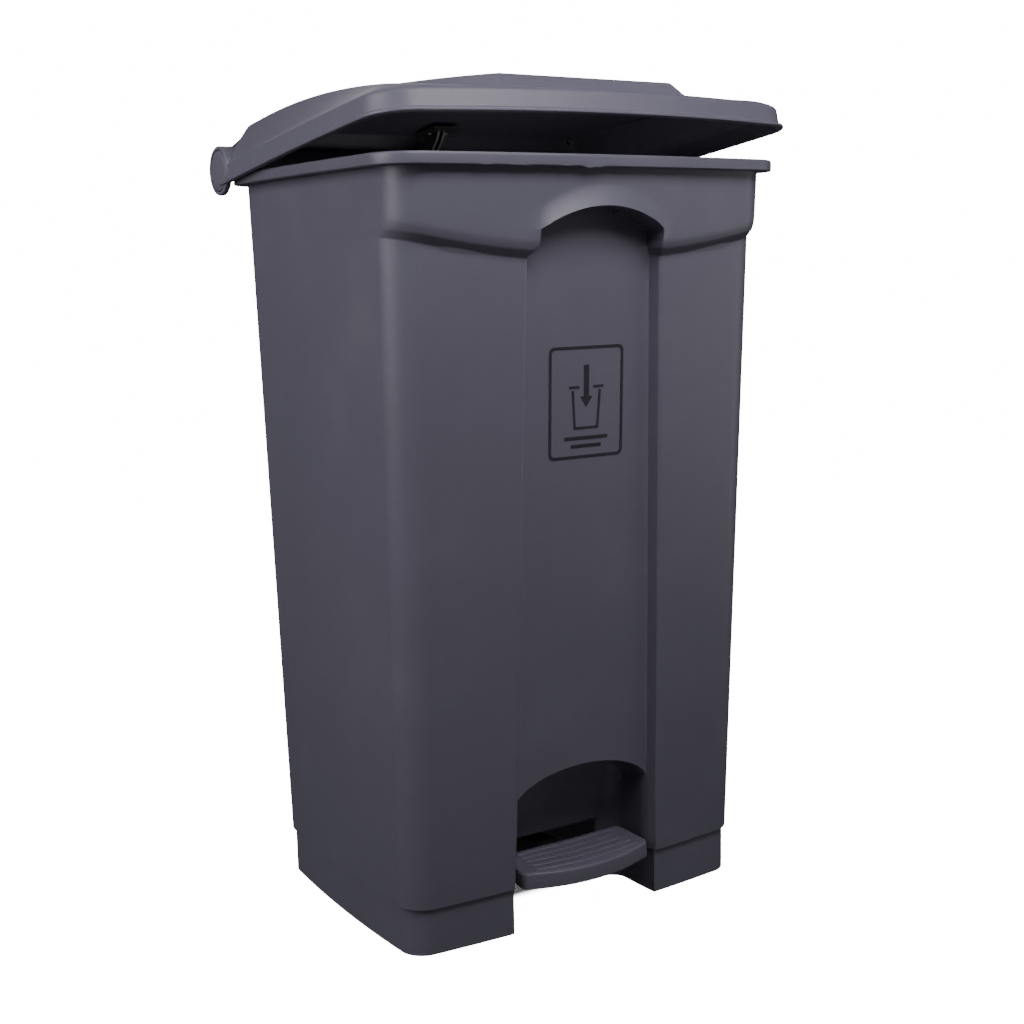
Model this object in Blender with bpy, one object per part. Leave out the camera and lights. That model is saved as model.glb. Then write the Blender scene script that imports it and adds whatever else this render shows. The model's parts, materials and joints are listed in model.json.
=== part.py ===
"""Step-on waste bin: tapered tub on a plinth, hinged lid, pedal, lift rod.

Frame: metres, +Z up, front of the bin towards -Y, floor at Z = 0, origin on
the floor under the middle of the object. The lid is modelled shut and then
tilted by LID_AJAR about the hinge, so it rests slightly open.
"""
import math

import bmesh
import bpy
from mathutils import Matrix, Vector

# ---- tub ------------------------------------------------------------------
CENTRE_Y = 0.0052                 # middle of the rim
RIM_TOP = 0.775
RIM_BOTTOM = 0.7637
RIM_HALF = (0.2302, 0.1943)
RIM_CORNER = 0.043
STEP_Z = 0.0497                   # where the tub stands on its plinth
PLINTH_HALF = (0.2039, 0.1481)
PLINTH_Y = CENTRE_Y + 0.008
LOW_HALF = (0.2070, 0.1520)
TOP_HALF = (0.2163, 0.1836)
BAND_STEP = 0.0116                # the upper band stands this far forward
BODY_CORNER = (0.030, 0.036)      # at the bottom and at the top
SIDE_BOW = 0.0044                 # how far the sides and the front swell
FRONT_BOW = 0.0083                # out from the line of their corners
WALL = 0.003
FLOOR_Z = 0.083
FLOOR_UNDER = 0.080
BAND_EDGE_Z = 0.677               # lower border of the band at the middle
BAND_EDGE_CURVE = 1.9             # border height grows by x squared over this

# ---- front channel, hood arch and toe niche ---------------------------------
CHANNEL_HALF = (0.0895, 0.0775)   # near the floor and under the band
CHANNEL_DEPTH = 0.0065            # from the line of the front corners
FRONT_SLOPE = math.atan((TOP_HALF[1] - BAND_STEP - LOW_HALF[1] + 0.008)
                        / (RIM_BOTTOM - STEP_Z))
HOOD_HALF = 0.072
HOOD_SPRING_Z = 0.707
HOOD_TOP_Z = 0.7285
NICHE_HALF = 0.080
NICHE_SPRING_Z = 0.141
NICHE_TOP_Z = 0.162
NICHE_BACK_Y = CENTRE_Y - 0.080
NOTCH_HALF = 0.0885
LEVER_GATE = (0.060, 0.071)       # half width and top of the lever's opening

# ---- hinge and lid -----------------------------------------------------------
HINGE_Y = CENTRE_Y + 0.184
HINGE_Z = 0.780
BARREL_R = 0.026
BARREL_BORE_R = 0.0225
BARREL_HALF = 0.2375
BARREL_END_WALL = 0.2318          # inner face of the barrel's end walls
CAP_R = 0.0212
CAP_DEPTH = 0.0032
HINGE_ROD_R = 0.003
HINGE_ROD_HALF = 0.2335
HINGE_LUG_X = 0.180
GAP_FROM_DOWN = math.radians(86)  # open sector under the barrel, rear side
LID_AJAR = math.radians(6.6)
LID_TRAVEL = math.radians(70.0)
LID_HALF = 0.2362
LID_FRONT = CENTRE_Y - 0.2018
LID_BOW = (0.0040, 0.0165)
LID_CORNER = 0.046
SKIRT_BOTTOM = 0.7632
SKIRT_TOP = 0.786
FLANGE = 0.0029
RIDGE_HALF = 0.212                # upper edge of the lid's side slopes
RIDGE_FRONT = CENTRE_Y - 0.192
RIDGE_REAR = CENTRE_Y + 0.160
RIDGE_TOP = (CENTRE_Y + 0.110, 0.822)
RIDGE_FALL = 0.36                 # it falls by this times distance squared
PANEL_FRONT = (0.099, CENTRE_Y - 0.1706, 0.808)
PANEL_SIDE = (0.2105, CENTRE_Y + 0.017, 0.8190)
PANEL_REAR_Y = CENTRE_Y + 0.148
PANEL_FOOT = 0.016                # width of the slope round the raised panel
CROWN_Z = 0.826

# ---- linkage -----------------------------------------------------------------
PIN_R = 0.0024
LID_ARM = 0.026                   # hinge axis to the lid lever's pin
ROD_TRAVEL = 2 * LID_ARM * math.sin(LID_TRAVEL / 2)
ROD_R = 0.003
ROD_TOP_Y = HINGE_Y - LID_ARM * (1 + math.cos(LID_TRAVEL / 2)) / 2
ROD_LOW_Y = CENTRE_Y + 0.1435
ROD_LOW_Z = 0.062
ROD_BEND_Z = (0.60, 0.66)
ROD_HIGH_Z = 0.748
GROOVE_HALF = 0.013
GROOVE_FLOOR_Y = CENTRE_Y + 0.1345
AXLE_Y = CENTRE_Y + 0.0155
AXLE_Z = 0.036
AXLE_R = 0.004
AXLE_HALF = 0.049
LEVER_ARM = ROD_LOW_Y - AXLE_Y
PLATE = 0.0017                    # half thickness of the rod's end plates
LEVER_HALF = 0.014
HUB_R = 0.010
HUB_HALF = 0.034
HANGER_X = (0.037, 0.043)

# ---- pedal -------------------------------------------------------------------
PEDAL_HALF = (0.0755, 0.0800)     # at the back and at the front
PEDAL_BACK_Y = CENTRE_Y - 0.102
PEDAL_FRONT_Y = CENTRE_Y - 0.153
PEDAL_BOW = 0.013
PEDAL_TOP = (0.0665, 0.0625)
PEDAL_SKIRT = 0.017
PEDAL_WALL = 0.0032
RIB_COUNT = 5

GAP = 0.0003                      # left between pieces that touch
SIGN_HALF = (0.0445, 0.0555)
SIGN_Z = 0.5395


# ---- scene, materials and small helpers ---------------------------------------
for old in list(bpy.data.objects):
    bpy.data.objects.remove(old, do_unlink=True)

PARTS = bpy.data.collections.new("pedal_bin")
CUTTERS = bpy.data.collections.new("pedal_bin_cutters")
for group in (PARTS, CUTTERS):
    bpy.context.scene.collection.children.link(group)


def material(name, colour, roughness, metallic=0.0):
    mat = bpy.data.materials.new(name)
    mat.use_nodes = True
    shader = mat.node_tree.nodes["Principled BSDF"]
    shader.inputs["Base Color"].default_value = (*colour, 1.0)
    shader.inputs["Roughness"].default_value = roughness
    shader.inputs["Metallic"].default_value = metallic
    return mat


TUB_PLASTIC = material("tub_plastic", (0.105, 0.100, 0.125), 0.55)
LID_PLASTIC = material("lid_plastic", (0.120, 0.115, 0.140), 0.50)
BLACK_NYLON = material("black_nylon", (0.020, 0.020, 0.022), 0.45)
STEEL = material("zinc_steel", (0.62, 0.62, 0.60), 0.35, 1.0)
INK = material("sign_ink", (0.012, 0.012, 0.020), 0.40)


def mesh_object(name, build, mat=None):
    """One object whose mesh is made by build(bm); a cutter when mat is None."""
    bm = bmesh.new()
    build(bm)
    mesh = bpy.data.meshes.new(name)
    bm.to_mesh(mesh)
    bm.free()
    obj = bpy.data.objects.new(name, mesh)
    if mat is None:
        CUTTERS.objects.link(obj)
        obj.hide_render = True
        obj.display_type = "WIRE"
    else:
        PARTS.objects.link(obj)
        mesh.materials.append(mat)
    return obj


def boolean(target, other, operation="DIFFERENCE"):
    mod = target.modifiers.new(f"{operation.lower()}_{other.name}", "BOOLEAN")
    mod.operation = operation
    mod.solver = "EXACT"
    mod.object = other
    return target


def block(name, low, high, mat=None):
    """A box from its low corner to its high corner."""
    low, high = Vector(low), Vector(high)

    def build(bm):
        bmesh.ops.create_cube(bm, size=1.0)
        bmesh.ops.scale(bm, vec=high - low, verts=bm.verts)
        bmesh.ops.translate(bm, vec=(low + high) / 2, verts=bm.verts)
    return mesh_object(name, build, mat)


def cylinder(name, radius, start, end, mat=None, sides=24):
    """A round bar from start to end, which lie on one line along an axis."""
    start, end = Vector(start), Vector(end)
    turn = Vector((0, 0, 1)).rotation_difference((end - start).normalized())

    def build(bm):
        place = Matrix.Translation((start + end) / 2) @ turn.to_matrix().to_4x4()
        bmesh.ops.create_cone(bm, cap_ends=True, segments=sides, radius1=radius,
                              radius2=radius, depth=(end - start).length,
                              matrix=place)
    return mesh_object(name, build, mat)


def prism(name, outline, axis, span, mat=None):
    """A flat outline carried along axis X, Y or Z between the two spans.

    The outline's pairs are (y, z) for X, (x, z) for Y and (x, y) for Z.
    """
    place = {"X": lambda p, s: (s, p[0], p[1]),
             "Y": lambda p, s: (p[0], s, p[1]),
             "Z": lambda p, s: (p[0], p[1], s)}[axis]

    def build(bm):
        rows = [[bm.verts.new(place(p, s)) for p in outline] for s in span]
        count = len(outline)
        bm.faces.new(rows[0])
        bm.faces.new(reversed(rows[1]))
        for i in range(count):
            j = (i + 1) % count
            bm.faces.new((rows[0][j], rows[0][i], rows[1][i], rows[1][j]))
        bmesh.ops.recalc_face_normals(bm, faces=bm.faces)
    return mesh_object(name, build, mat)


def loft(name, rings, mat=None):
    """A closed body through rings of equal point count, bottom to top."""
    def build(bm):
        rows = [[bm.verts.new(p) for p in ring_] for ring_ in rings]
        count = len(rings[0])
        for low, high in zip(rows, rows[1:]):
            for i in range(count):
                j = (i + 1) % count
                bm.faces.new((low[i], low[j], high[j], high[i]))
        bm.faces.new(reversed(rows[0]))
        bm.faces.new(rows[-1])
        bmesh.ops.recalc_face_normals(bm, faces=bm.faces)
    return mesh_object(name, build, mat)


def arc(centre, radius, start, end, steps):
    """Points on a circle from start to end, angles in radians."""
    return [(centre[0] + radius * math.cos(start + (end - start) * i / steps),
             centre[1] + radius * math.sin(start + (end - start) * i / steps))
            for i in range(steps + 1)]


def ring(half, front, rear, height, front_corner, rear_corner,
         bow=(0.0, 0.0), roundness=1.0, corner_steps=4, side_steps=4):
    """A rounded rectangle seen from above, counter-clockwise.

    A corner is (width, depth); height is a number or a function of x and y;
    bow is how far the sides and the front swell at their middle; roundness 0
    makes the front corners straight diagonals.
    """
    corners = []
    for sx, sy, (cx, cy), w in ((1, 1, rear_corner, 1.0), (-1, 1, rear_corner, 1.0),
                                (-1, -1, front_corner, roundness),
                                (1, -1, front_corner, roundness)):
        edge_y = rear if sy > 0 else front
        points = []
        for i in range(corner_steps + 1):
            t = i / corner_steps
            a = t * math.pi / 2
            u = (1 - w) * (1 - t) + w * math.cos(a)
            v = (1 - w) * t + w * math.sin(a)
            points.append((sx * (half - cx + cx * u), edge_y - sy * cy + sy * cy * v))
        corners.append(points if sx * sy > 0 else points[::-1])
    out = []
    for k, points in enumerate(corners):
        out += points
        a, b = points[-1], corners[(k + 1) % 4][0]
        swell = (0.0, bow[0], bow[1], bow[0])[k]
        normal = ((0, 1), (-1, 0), (0, -1), (1, 0))[k]
        for i in range(1, side_steps):
            t = i / side_steps
            s = swell * (1 - (2 * t - 1) ** 2)
            out.append((a[0] + (b[0] - a[0]) * t + normal[0] * s,
                        a[1] + (b[1] - a[1]) * t + normal[1] * s))
    tall = height if callable(height) else (lambda x, y: height)
    return [(x, y, tall(x, y)) for x, y in out]


def tub_ring(z, inset=0.0, band=False):
    """The tub's outline at height z, pulled in by inset."""
    t = (z - STEP_Z) / (RIM_BOTTOM - STEP_Z)
    half = LOW_HALF[0] + (TOP_HALF[0] - LOW_HALF[0]) * t
    depth = LOW_HALF[1] + (TOP_HALF[1] - LOW_HALF[1]) * t
    middle = PLINTH_Y + (CENTRE_Y - PLINTH_Y) * t
    corner = BODY_CORNER[0] + (BODY_CORNER[1] - BODY_CORNER[0]) * t - inset
    front = middle - depth + inset + (0.0 if band else BAND_STEP * t)
    return ring(half - inset, front, middle + depth - inset, z,
                (corner, corner), (corner, corner), (SIDE_BOW, FRONT_BOW))


# ---- tub ------------------------------------------------------------------------
def hood_outline(half_low, half_high, grow=0.0):
    """The channel's front view: straight sides under a low arch."""
    rise = HOOD_TOP_Z - HOOD_SPRING_Z
    half = HOOD_HALF + grow
    radius = (HOOD_HALF ** 2 + rise ** 2) / (2 * rise) + grow
    spring = math.acos(half / radius)
    centre = HOOD_TOP_Z + grow - radius
    top = arc((0, centre), radius, spring, math.pi - spring, 8)
    low, high = half_low + grow, half_high + grow
    return ([(-half, 0.686), (-high, BAND_EDGE_Z + 0.003), (-low, -0.05),
             (low, -0.05), (high, BAND_EDGE_Z + 0.003), (half, 0.686)] + top)


def niche_outline(grow=0.0):
    """The toe niche's front view, with the wider notch in the plinth."""
    rise = NICHE_TOP_Z - NICHE_SPRING_Z
    half = NICHE_HALF + grow
    radius = (NICHE_HALF ** 2 + rise ** 2) / (2 * rise) + grow
    spring = math.acos(half / radius)
    top = arc((0, NICHE_TOP_Z + grow - radius), radius, spring,
              math.pi - spring, 8)
    foot = NOTCH_HALF + grow
    return [(-half, STEP_Z + grow), (-foot, STEP_Z + grow), (-foot, -0.05),
            (foot, -0.05), (foot, STEP_Z + grow), (half, STEP_Z + grow)] + top


def slanted(obj, pivot_y):
    """Lean a cutter back so that its rear face follows the sloping front."""
    turn = Matrix.Rotation(FRONT_SLOPE, 4, "X")
    place = Matrix.Translation((0, pivot_y, STEP_Z))
    obj.data.transform(place @ turn @ place.inverted())
    return obj


def border_height(x):
    return BAND_EDGE_Z + x * x / BAND_EDGE_CURVE


def border_outline(lift=0.0):
    """Region above the band's lower border, seen from the front."""
    edge = [(0.25 * i / 8, border_height(0.25 * i / 8) + lift)
            for i in range(-8, 9)]
    return edge + [(0.25, RIM_TOP + 0.03), (-0.25, RIM_TOP + 0.03)]


def band_solid(name, inset, top, lift):
    """The proud upper band over the front half of the tub."""
    solid = loft(name, [tub_ring(z, inset - 0.0004, band=True)
                        for z in (0.66, top)])
    keep = prism(name + "_keep", border_outline(lift), "Y", (-0.3, CENTRE_Y))
    return boolean(solid, keep, "INTERSECT")


def make_tub():
    plinth = (PLINTH_HALF[0], PLINTH_Y - PLINTH_HALF[1], PLINTH_Y + PLINTH_HALF[1])
    corner = (0.027, 0.027)
    bow = (SIDE_BOW, FRONT_BOW)
    rim = (RIM_HALF[0], CENTRE_Y - RIM_HALF[1], CENTRE_Y + RIM_HALF[1])
    rim_corner = (RIM_CORNER, RIM_CORNER)
    crest = 0.0015
    rings = [ring(*plinth, 0.0, corner, corner, bow),
             ring(*plinth, STEP_Z - 0.0008, corner, corner, bow),
             tub_ring(STEP_Z), tub_ring(RIM_BOTTOM),
             ring(*rim, RIM_BOTTOM + 0.0004, rim_corner, rim_corner, bow),
             ring(*rim, RIM_TOP - crest, rim_corner, rim_corner, bow),
             ring(rim[0] - crest, rim[1] + crest, rim[2] - crest, RIM_TOP,
                  rim_corner, rim_corner, bow)]
    tub = loft("body_shell", rings, TUB_PLASTIC)
    boolean(tub, band_solid("band", 0.0, RIM_BOTTOM + 0.002, 0.0), "UNION")

    # inside of the bin, kept clear of the channel, the niche and the groove
    inside = loft("inside", [tub_ring(FLOOR_Z, WALL), tub_ring(RIM_TOP + 0.02, WALL)])
    boolean(inside, band_solid("band_inside", WALL, RIM_TOP + 0.02, 0.005), "UNION")
    front = PLINTH_Y - LOW_HALF[1]
    floor_y = front + CHANNEL_DEPTH
    boolean(inside, slanted(prism("channel_wall", hood_outline(*CHANNEL_HALF, WALL),
                                  "Y", (-0.35, floor_y + WALL)), front))
    boolean(inside, prism("niche_wall", niche_outline(WALL), "Y",
                          (-0.3, NICHE_BACK_Y + WALL)))
    boolean(inside, block("groove_wall",
                          (-GROOVE_HALF - WALL, GROOVE_FLOOR_Y - WALL, 0.0),
                          (GROOVE_HALF + WALL, 0.3, 0.9)))
    boolean(tub, inside)

    # hollow under the raised floor, with walls left round the toe niche
    plinth_in = (plinth[0] - 0.004, plinth[1] + 0.004, plinth[2] - 0.004)
    under = loft("underside", [ring(*plinth_in, z, corner, corner, bow)
                               for z in (-0.02, FLOOR_UNDER)])
    boolean(under, prism("niche_keep", niche_outline(WALL), "Y",
                         (-0.3, NICHE_BACK_Y + WALL)))
    boolean(tub, under)

    # hangers for the pedal axle and lugs for the hinge rod
    for side in (-1, 1):
        xs = sorted((side * HANGER_X[0], side * HANGER_X[1]))
        boolean(tub, block(f"hanger_{side}", (xs[0], AXLE_Y - 0.014, AXLE_Z - 0.012),
                           (xs[1], AXLE_Y + 0.014, FLOOR_UNDER + 0.001)), "UNION")
        boolean(tub, block(f"lug_{side}",
                           (side * HINGE_LUG_X - 0.006, HINGE_Y - 0.0085, 0.768),
                           (side * HINGE_LUG_X + 0.006, HINGE_Y + 0.0075,
                            HINGE_Z + 0.0075)), "UNION")
    cut = [slanted(prism("channel", hood_outline(*CHANNEL_HALF), "Y",
                         (-0.35, floor_y)), front),
           prism("niche", niche_outline(), "Y", (-0.3, NICHE_BACK_Y)),
           block("lever_gate", (-LEVER_GATE[0], -0.2, -0.02),
                 (LEVER_GATE[0], NICHE_BACK_Y + 0.02, LEVER_GATE[1])),
           block("groove", (-GROOVE_HALF, GROOVE_FLOOR_Y, -0.02),
                 (GROOVE_HALF, 0.3, 0.9)),
           cylinder("axle_hole", AXLE_R + GAP, (-0.05, AXLE_Y, AXLE_Z),
                    (0.05, AXLE_Y, AXLE_Z)),
           cylinder("hinge_hole", HINGE_ROD_R + GAP, (-0.2, HINGE_Y, HINGE_Z),
                    (0.2, HINGE_Y, HINGE_Z))]
    for cutter in cut:
        boolean(tub, cutter)


# ---- lid, modelled shut -----------------------------------------------------------
def ridge_height(x, y):
    """The lid's top beside the raised panel: level at the rear, then falling."""
    return RIDGE_TOP[1] - RIDGE_FALL * max(0.0, RIDGE_TOP[0] - y) ** 2


def panel_height(x, y):
    """Top of the raised panel: low at its front edge, level further back."""
    t = (y - PANEL_FRONT[1]) / (PANEL_SIDE[1] - PANEL_FRONT[1])
    t = min(max(t, 0.0), 1.0)
    s = 1 - (1 - t) ** 2
    rise = PANEL_FRONT[2] + (PANEL_SIDE[2] - PANEL_FRONT[2]) * s
    return max(rise, ridge_height(x, y))


def lid_rings(inset, bottom):
    """Rings from the skirt's bottom to the crown, moved inwards by inset."""
    corner = (LID_CORNER - inset, LID_CORNER - inset)
    square = (0.004, 0.004)
    half, front, rear = LID_HALF - inset, LID_FRONT + inset, HINGE_Y
    side = (PANEL_SIDE[0] - PANEL_FRONT[0], PANEL_SIDE[1] - PANEL_FRONT[1])
    side_y = (PANEL_FRONT[1] + PANEL_REAR_Y) / 2

    def panel(shrink, rise, out=0.0, tall=panel_height):
        k = 1 - shrink
        back = 0.004 if out else 0.0
        return ring((PANEL_SIDE[0] - inset) * k + out * 0.06,
                    side_y + (PANEL_FRONT[1] + inset - side_y) * k - out,
                    side_y + (PANEL_REAR_Y - side_y) * k + back,
                    lambda x, y: tall(x, y) + rise - inset,
                    (side[0] * k - out * 0.4, side[1] * k + out * 0.5),
                    (0.012 * k, 0.012 * k), roundness=0.12)

    flange = 0.0 if inset else FLANGE
    rings = [ring(half + flange, front - flange, rear, bottom, corner, square,
                  LID_BOW)]
    if not inset:
        rings.append(ring(half + flange, front - flange, rear,
                          SKIRT_BOTTOM + FLANGE, corner, square, LID_BOW))
        rings.append(ring(half, front, rear, SKIRT_BOTTOM + 1.4 * FLANGE,
                          corner, square, LID_BOW))
    rings += [ring(half - 0.0008, front + 0.0008, rear,
                   SKIRT_TOP - 0.005 - inset, corner, square, LID_BOW),
              ring(half - 0.0035, front + 0.0035, rear, SKIRT_TOP - inset,
                   corner, square, LID_BOW),
              ring(RIDGE_HALF - inset, RIDGE_FRONT + inset, RIDGE_REAR - inset,
                   lambda x, y: ridge_height(x, y) - inset,
                   (0.034, 0.034), (0.010, 0.010), (0.0, 0.012)),
              panel(0.0, 0.0, PANEL_FOOT, ridge_height), panel(0.0, 0.0),
              panel(0.25, (CROWN_Z - RIDGE_TOP[1]) * 0.55),
              panel(0.7, CROWN_Z - RIDGE_TOP[1])]
    return rings


def make_lid(pivot):
    lid = loft("lid_shell", lid_rings(0.0, SKIRT_BOTTOM), LID_PLASTIC)
    axis = (HINGE_Y, HINGE_Z)
    barrel = cylinder("barrel", BARREL_R, (-BARREL_HALF, *axis),
                      (BARREL_HALF, *axis), sides=40)
    boolean(lid, barrel, "UNION")
    boolean(lid, loft("lid_inside", lid_rings(WALL, SKIRT_BOTTOM - 0.02)))
    bore = cylinder("barrel_bore", BARREL_BORE_R, (-BARREL_END_WALL, *axis),
                    (BARREL_END_WALL, *axis), sides=40)
    boolean(lid, bore)

    # open sector: straight down at the front to just under level at the rear
    far = BARREL_R * 1.6
    steps = 6
    fan = [axis] + [(axis[0] + far * math.sin(a), axis[1] - far * math.cos(a))
                    for a in (-math.pi / 2 + (GAP_FROM_DOWN + math.pi / 2) * i / steps
                              for i in range(steps + 1))]
    boolean(lid, prism("barrel_gap", fan, "X", (-BARREL_END_WALL, BARREL_END_WALL)))
    for side, word in ((-1, "left"), (1, "right")):
        end = side * BARREL_HALF
        pocket = cylinder(f"pocket_{word}", CAP_R + GAP,
                          (end - side * (CAP_DEPTH + GAP), *axis),
                          (end + side * 0.01, *axis), sides=40)
        hole = cylinder(f"bush_hole_{word}", 0.0053, (side * 0.20, *axis),
                        (side * 0.25, *axis))
        boolean(lid, pocket)
        boolean(lid, hole)
        bush = cylinder(f"hinge_bush_{word}", 0.0050,
                        (side * (BARREL_END_WALL - 0.0010), *axis),
                        (side * (BARREL_HALF - CAP_DEPTH - 0.0008), *axis),
                        BLACK_NYLON)
        boolean(bush, cylinder(f"rod_way_{word}", HINGE_ROD_R + GAP,
                               (side * 0.22, *axis), (side * 0.25, *axis)))
        cap = cylinder(f"hinge_cap_{word}", CAP_R, (end - side * CAP_DEPTH, *axis),
                       (end - side * 0.0008, *axis), LID_PLASTIC, sides=40)
        for piece in (bush, cap):
            piece.parent = pivot
    lid.parent = pivot

    # lever under the lid: a screwed plate with two cheeks that hold the pin
    angle = -LID_TRAVEL / 2
    pin = (HINGE_Y - LID_ARM * math.cos(angle), HINGE_Z + LID_ARM * math.sin(angle))
    top = 0.8170                  # just under the lid's roof
    plate_y = (HINGE_Y - 0.086, HINGE_Y - 0.040)
    lever = block("lid_lever", (-0.016, plate_y[0], top - 0.003),
                  (0.016, plate_y[1], top), STEEL)
    cheek = ([(plate_y[0] + 0.012, top - 0.002), (plate_y[0] + 0.020, top - 0.012),
              (HINGE_Y - 0.045, RIM_TOP + 0.014), (pin[0] - 0.0065, pin[1] + 0.004)]
             + arc(pin, 0.0062, math.radians(190), math.radians(350), 6)
             + [(pin[0] + 0.004, pin[1] + 0.010), (HINGE_Y - 0.024, RIM_TOP + 0.016),
                (plate_y[1] - 0.001, top - 0.002)])
    for side in (-1, 1):
        xs = sorted((side * (PLATE + 0.0005), side * (PLATE + 0.0030)))
        boolean(lever, prism(f"cheek_{side}", cheek, "X", xs), "UNION")
    boolean(lever, cylinder("lever_pin_hole", PIN_R + GAP, (-0.01, *pin),
                            (0.01, *pin)))
    lever_pin = cylinder("lever_pin", PIN_R, (-0.0065, *pin), (0.0065, *pin), STEEL)
    for side, word in ((-1, "left"), (1, "right")):
        x, y = side * 0.0105, (plate_y[0] + plate_y[1]) / 2
        boolean(lever, cylinder(f"lever_hole_{word}", 0.0020, (x, y, top - 0.01),
                                (x, y, top + 0.01), sides=16))
        screw(f"lever_screw_{word}", (x, y, top - 0.003), (0, 0, 1),
              0.0032).parent = pivot
    for piece in (lever, lever_pin):
        piece.parent = pivot


def screw(name, head, way, length, head_r=0.0032, shank_r=0.0017):
    """A pan-head screw: the head's underside is at head, its shank runs along way."""
    turn = Vector((0, 0, 1)).rotation_difference(Vector(way)).to_matrix().to_4x4()
    place = Matrix.Translation(head) @ turn
    # one turned outline: crown, head edge, underside, shank
    profile = [(head_r * 0.7, -0.0018), (head_r, -0.0010), (head_r, -GAP),
               (shank_r, -GAP), (shank_r, length)]
    sides = 12
    rings = [[place @ Vector((radius * math.cos(2 * math.pi * i / sides),
                              radius * math.sin(2 * math.pi * i / sides), along))
              for i in range(sides)] for radius, along in profile]
    return loft(name, rings, STEEL)


# ---- hinge rod, lift rod, guides and cover -------------------------------------------
def tube_mesh(name, points, radius, mat):
    """A round bar along a bent line, made from a bevelled curve."""
    curve = bpy.data.curves.new(name + "_path", "CURVE")
    curve.dimensions = "3D"
    curve.bevel_depth = radius
    curve.bevel_resolution = 3
    curve.use_fill_caps = True
    spline = curve.splines.new("POLY")
    spline.points.add(len(points) - 1)
    for point, co in zip(spline.points, points):
        point.co = (*co, 1.0)
    guide = bpy.data.objects.new(name + "_path", curve)
    CUTTERS.objects.link(guide)
    bpy.context.view_layer.update()
    graph = bpy.context.evaluated_depsgraph_get()
    source = bpy.data.meshes.new_from_object(guide.evaluated_get(graph))

    def build(bm):
        bm.from_mesh(source)
        bmesh.ops.remove_doubles(bm, verts=bm.verts, dist=1e-6)
        bmesh.ops.recalc_face_normals(bm, faces=bm.faces)
    obj = mesh_object(name, build, mat)
    bpy.data.objects.remove(guide, do_unlink=True)
    return obj


def end_plate(name, centre, half_slot, socket, tall):
    """A slotted plate with a socket for the rod; centre is the slot's."""
    y, z = centre
    reach = half_slot[0] + 0.0035
    up = 1 if socket[1] > z else -1
    plate = prism(name, [(y - reach, z - up * (half_slot[1] + 0.003)),
                         (y + reach, z - up * (half_slot[1] + 0.003)),
                         (y + reach, z + up * (half_slot[1] + 0.003)),
                         (y + 0.004, z + up * tall), (y - 0.004, z + up * tall),
                         (y - reach, z + up * (half_slot[1] + 0.003))],
                  "X", (-PLATE, PLATE), STEEL)
    rod_y = socket[0]
    low, high = sorted((socket[1], socket[2]))
    boolean(plate, cylinder(name + "_socket", 0.0050, (0, rod_y, low),
                            (0, rod_y, high)), "UNION")
    boolean(plate, cylinder(name + "_bore", ROD_R + GAP, (0, rod_y, socket[3]),
                            (0, rod_y, socket[2] + up * 0.01)))
    straight = half_slot[0] - half_slot[1]
    slot = (arc((y + straight, z), half_slot[1], -math.pi / 2, math.pi / 2, 8)
            + arc((y - straight, z), half_slot[1], math.pi / 2, 1.5 * math.pi, 8))
    boolean(plate, prism(name + "_slot", slot, "X", (-0.01, 0.01)))
    return plate


def rear_y(z):
    """The tub's rear face on the centre line."""
    t = (z - STEP_Z) / (RIM_BOTTOM - STEP_Z)
    low, high = PLINTH_Y + LOW_HALF[1], CENTRE_Y + TOP_HALF[1]
    return low + (high - low) * t


def make_rod(slide):
    bend = ROD_BEND_Z
    mid = (bend[0] + bend[1]) / 2
    ease = [(0, ROD_LOW_Y, ROD_LOW_Z), (0, ROD_LOW_Y, bend[0] - 0.006),
            (0, ROD_LOW_Y + 0.0006, bend[0] + 0.002),
            (0, (ROD_LOW_Y + ROD_TOP_Y) / 2, mid),
            (0, ROD_TOP_Y - 0.0006, bend[1] - 0.002),
            (0, ROD_TOP_Y, bend[1] + 0.006), (0, ROD_TOP_Y, ROD_HIGH_Z)]
    rod = tube_mesh("lift_rod", ease, ROD_R, STEEL)
    swing = LID_ARM * (1 - math.cos(LID_TRAVEL / 2)) / 2
    rest = LID_TRAVEL / 2 - LID_AJAR
    eye_z = HINGE_Z - LID_ARM * math.sin(rest)
    eye = end_plate("rod_eye", (ROD_TOP_Y, eye_z), (PIN_R + swing + 0.0007, 0.0034),
                    (ROD_TOP_Y, eye_z - 0.012, eye_z - 0.032, ROD_HIGH_Z + GAP), 0.014)
    lean = LEVER_ARM * (1 - math.cos(ROD_TRAVEL / LEVER_ARM)) / 2
    foot = end_plate("rod_foot", (ROD_LOW_Y - lean, AXLE_Z),
                     (PIN_R + lean + 0.0010, 0.0032),
                     (ROD_LOW_Y, AXLE_Z + 0.014, AXLE_Z + 0.040, ROD_LOW_Z - GAP),
                     0.016)
    for piece in (rod, eye, foot):
        piece.parent = slide


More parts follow.
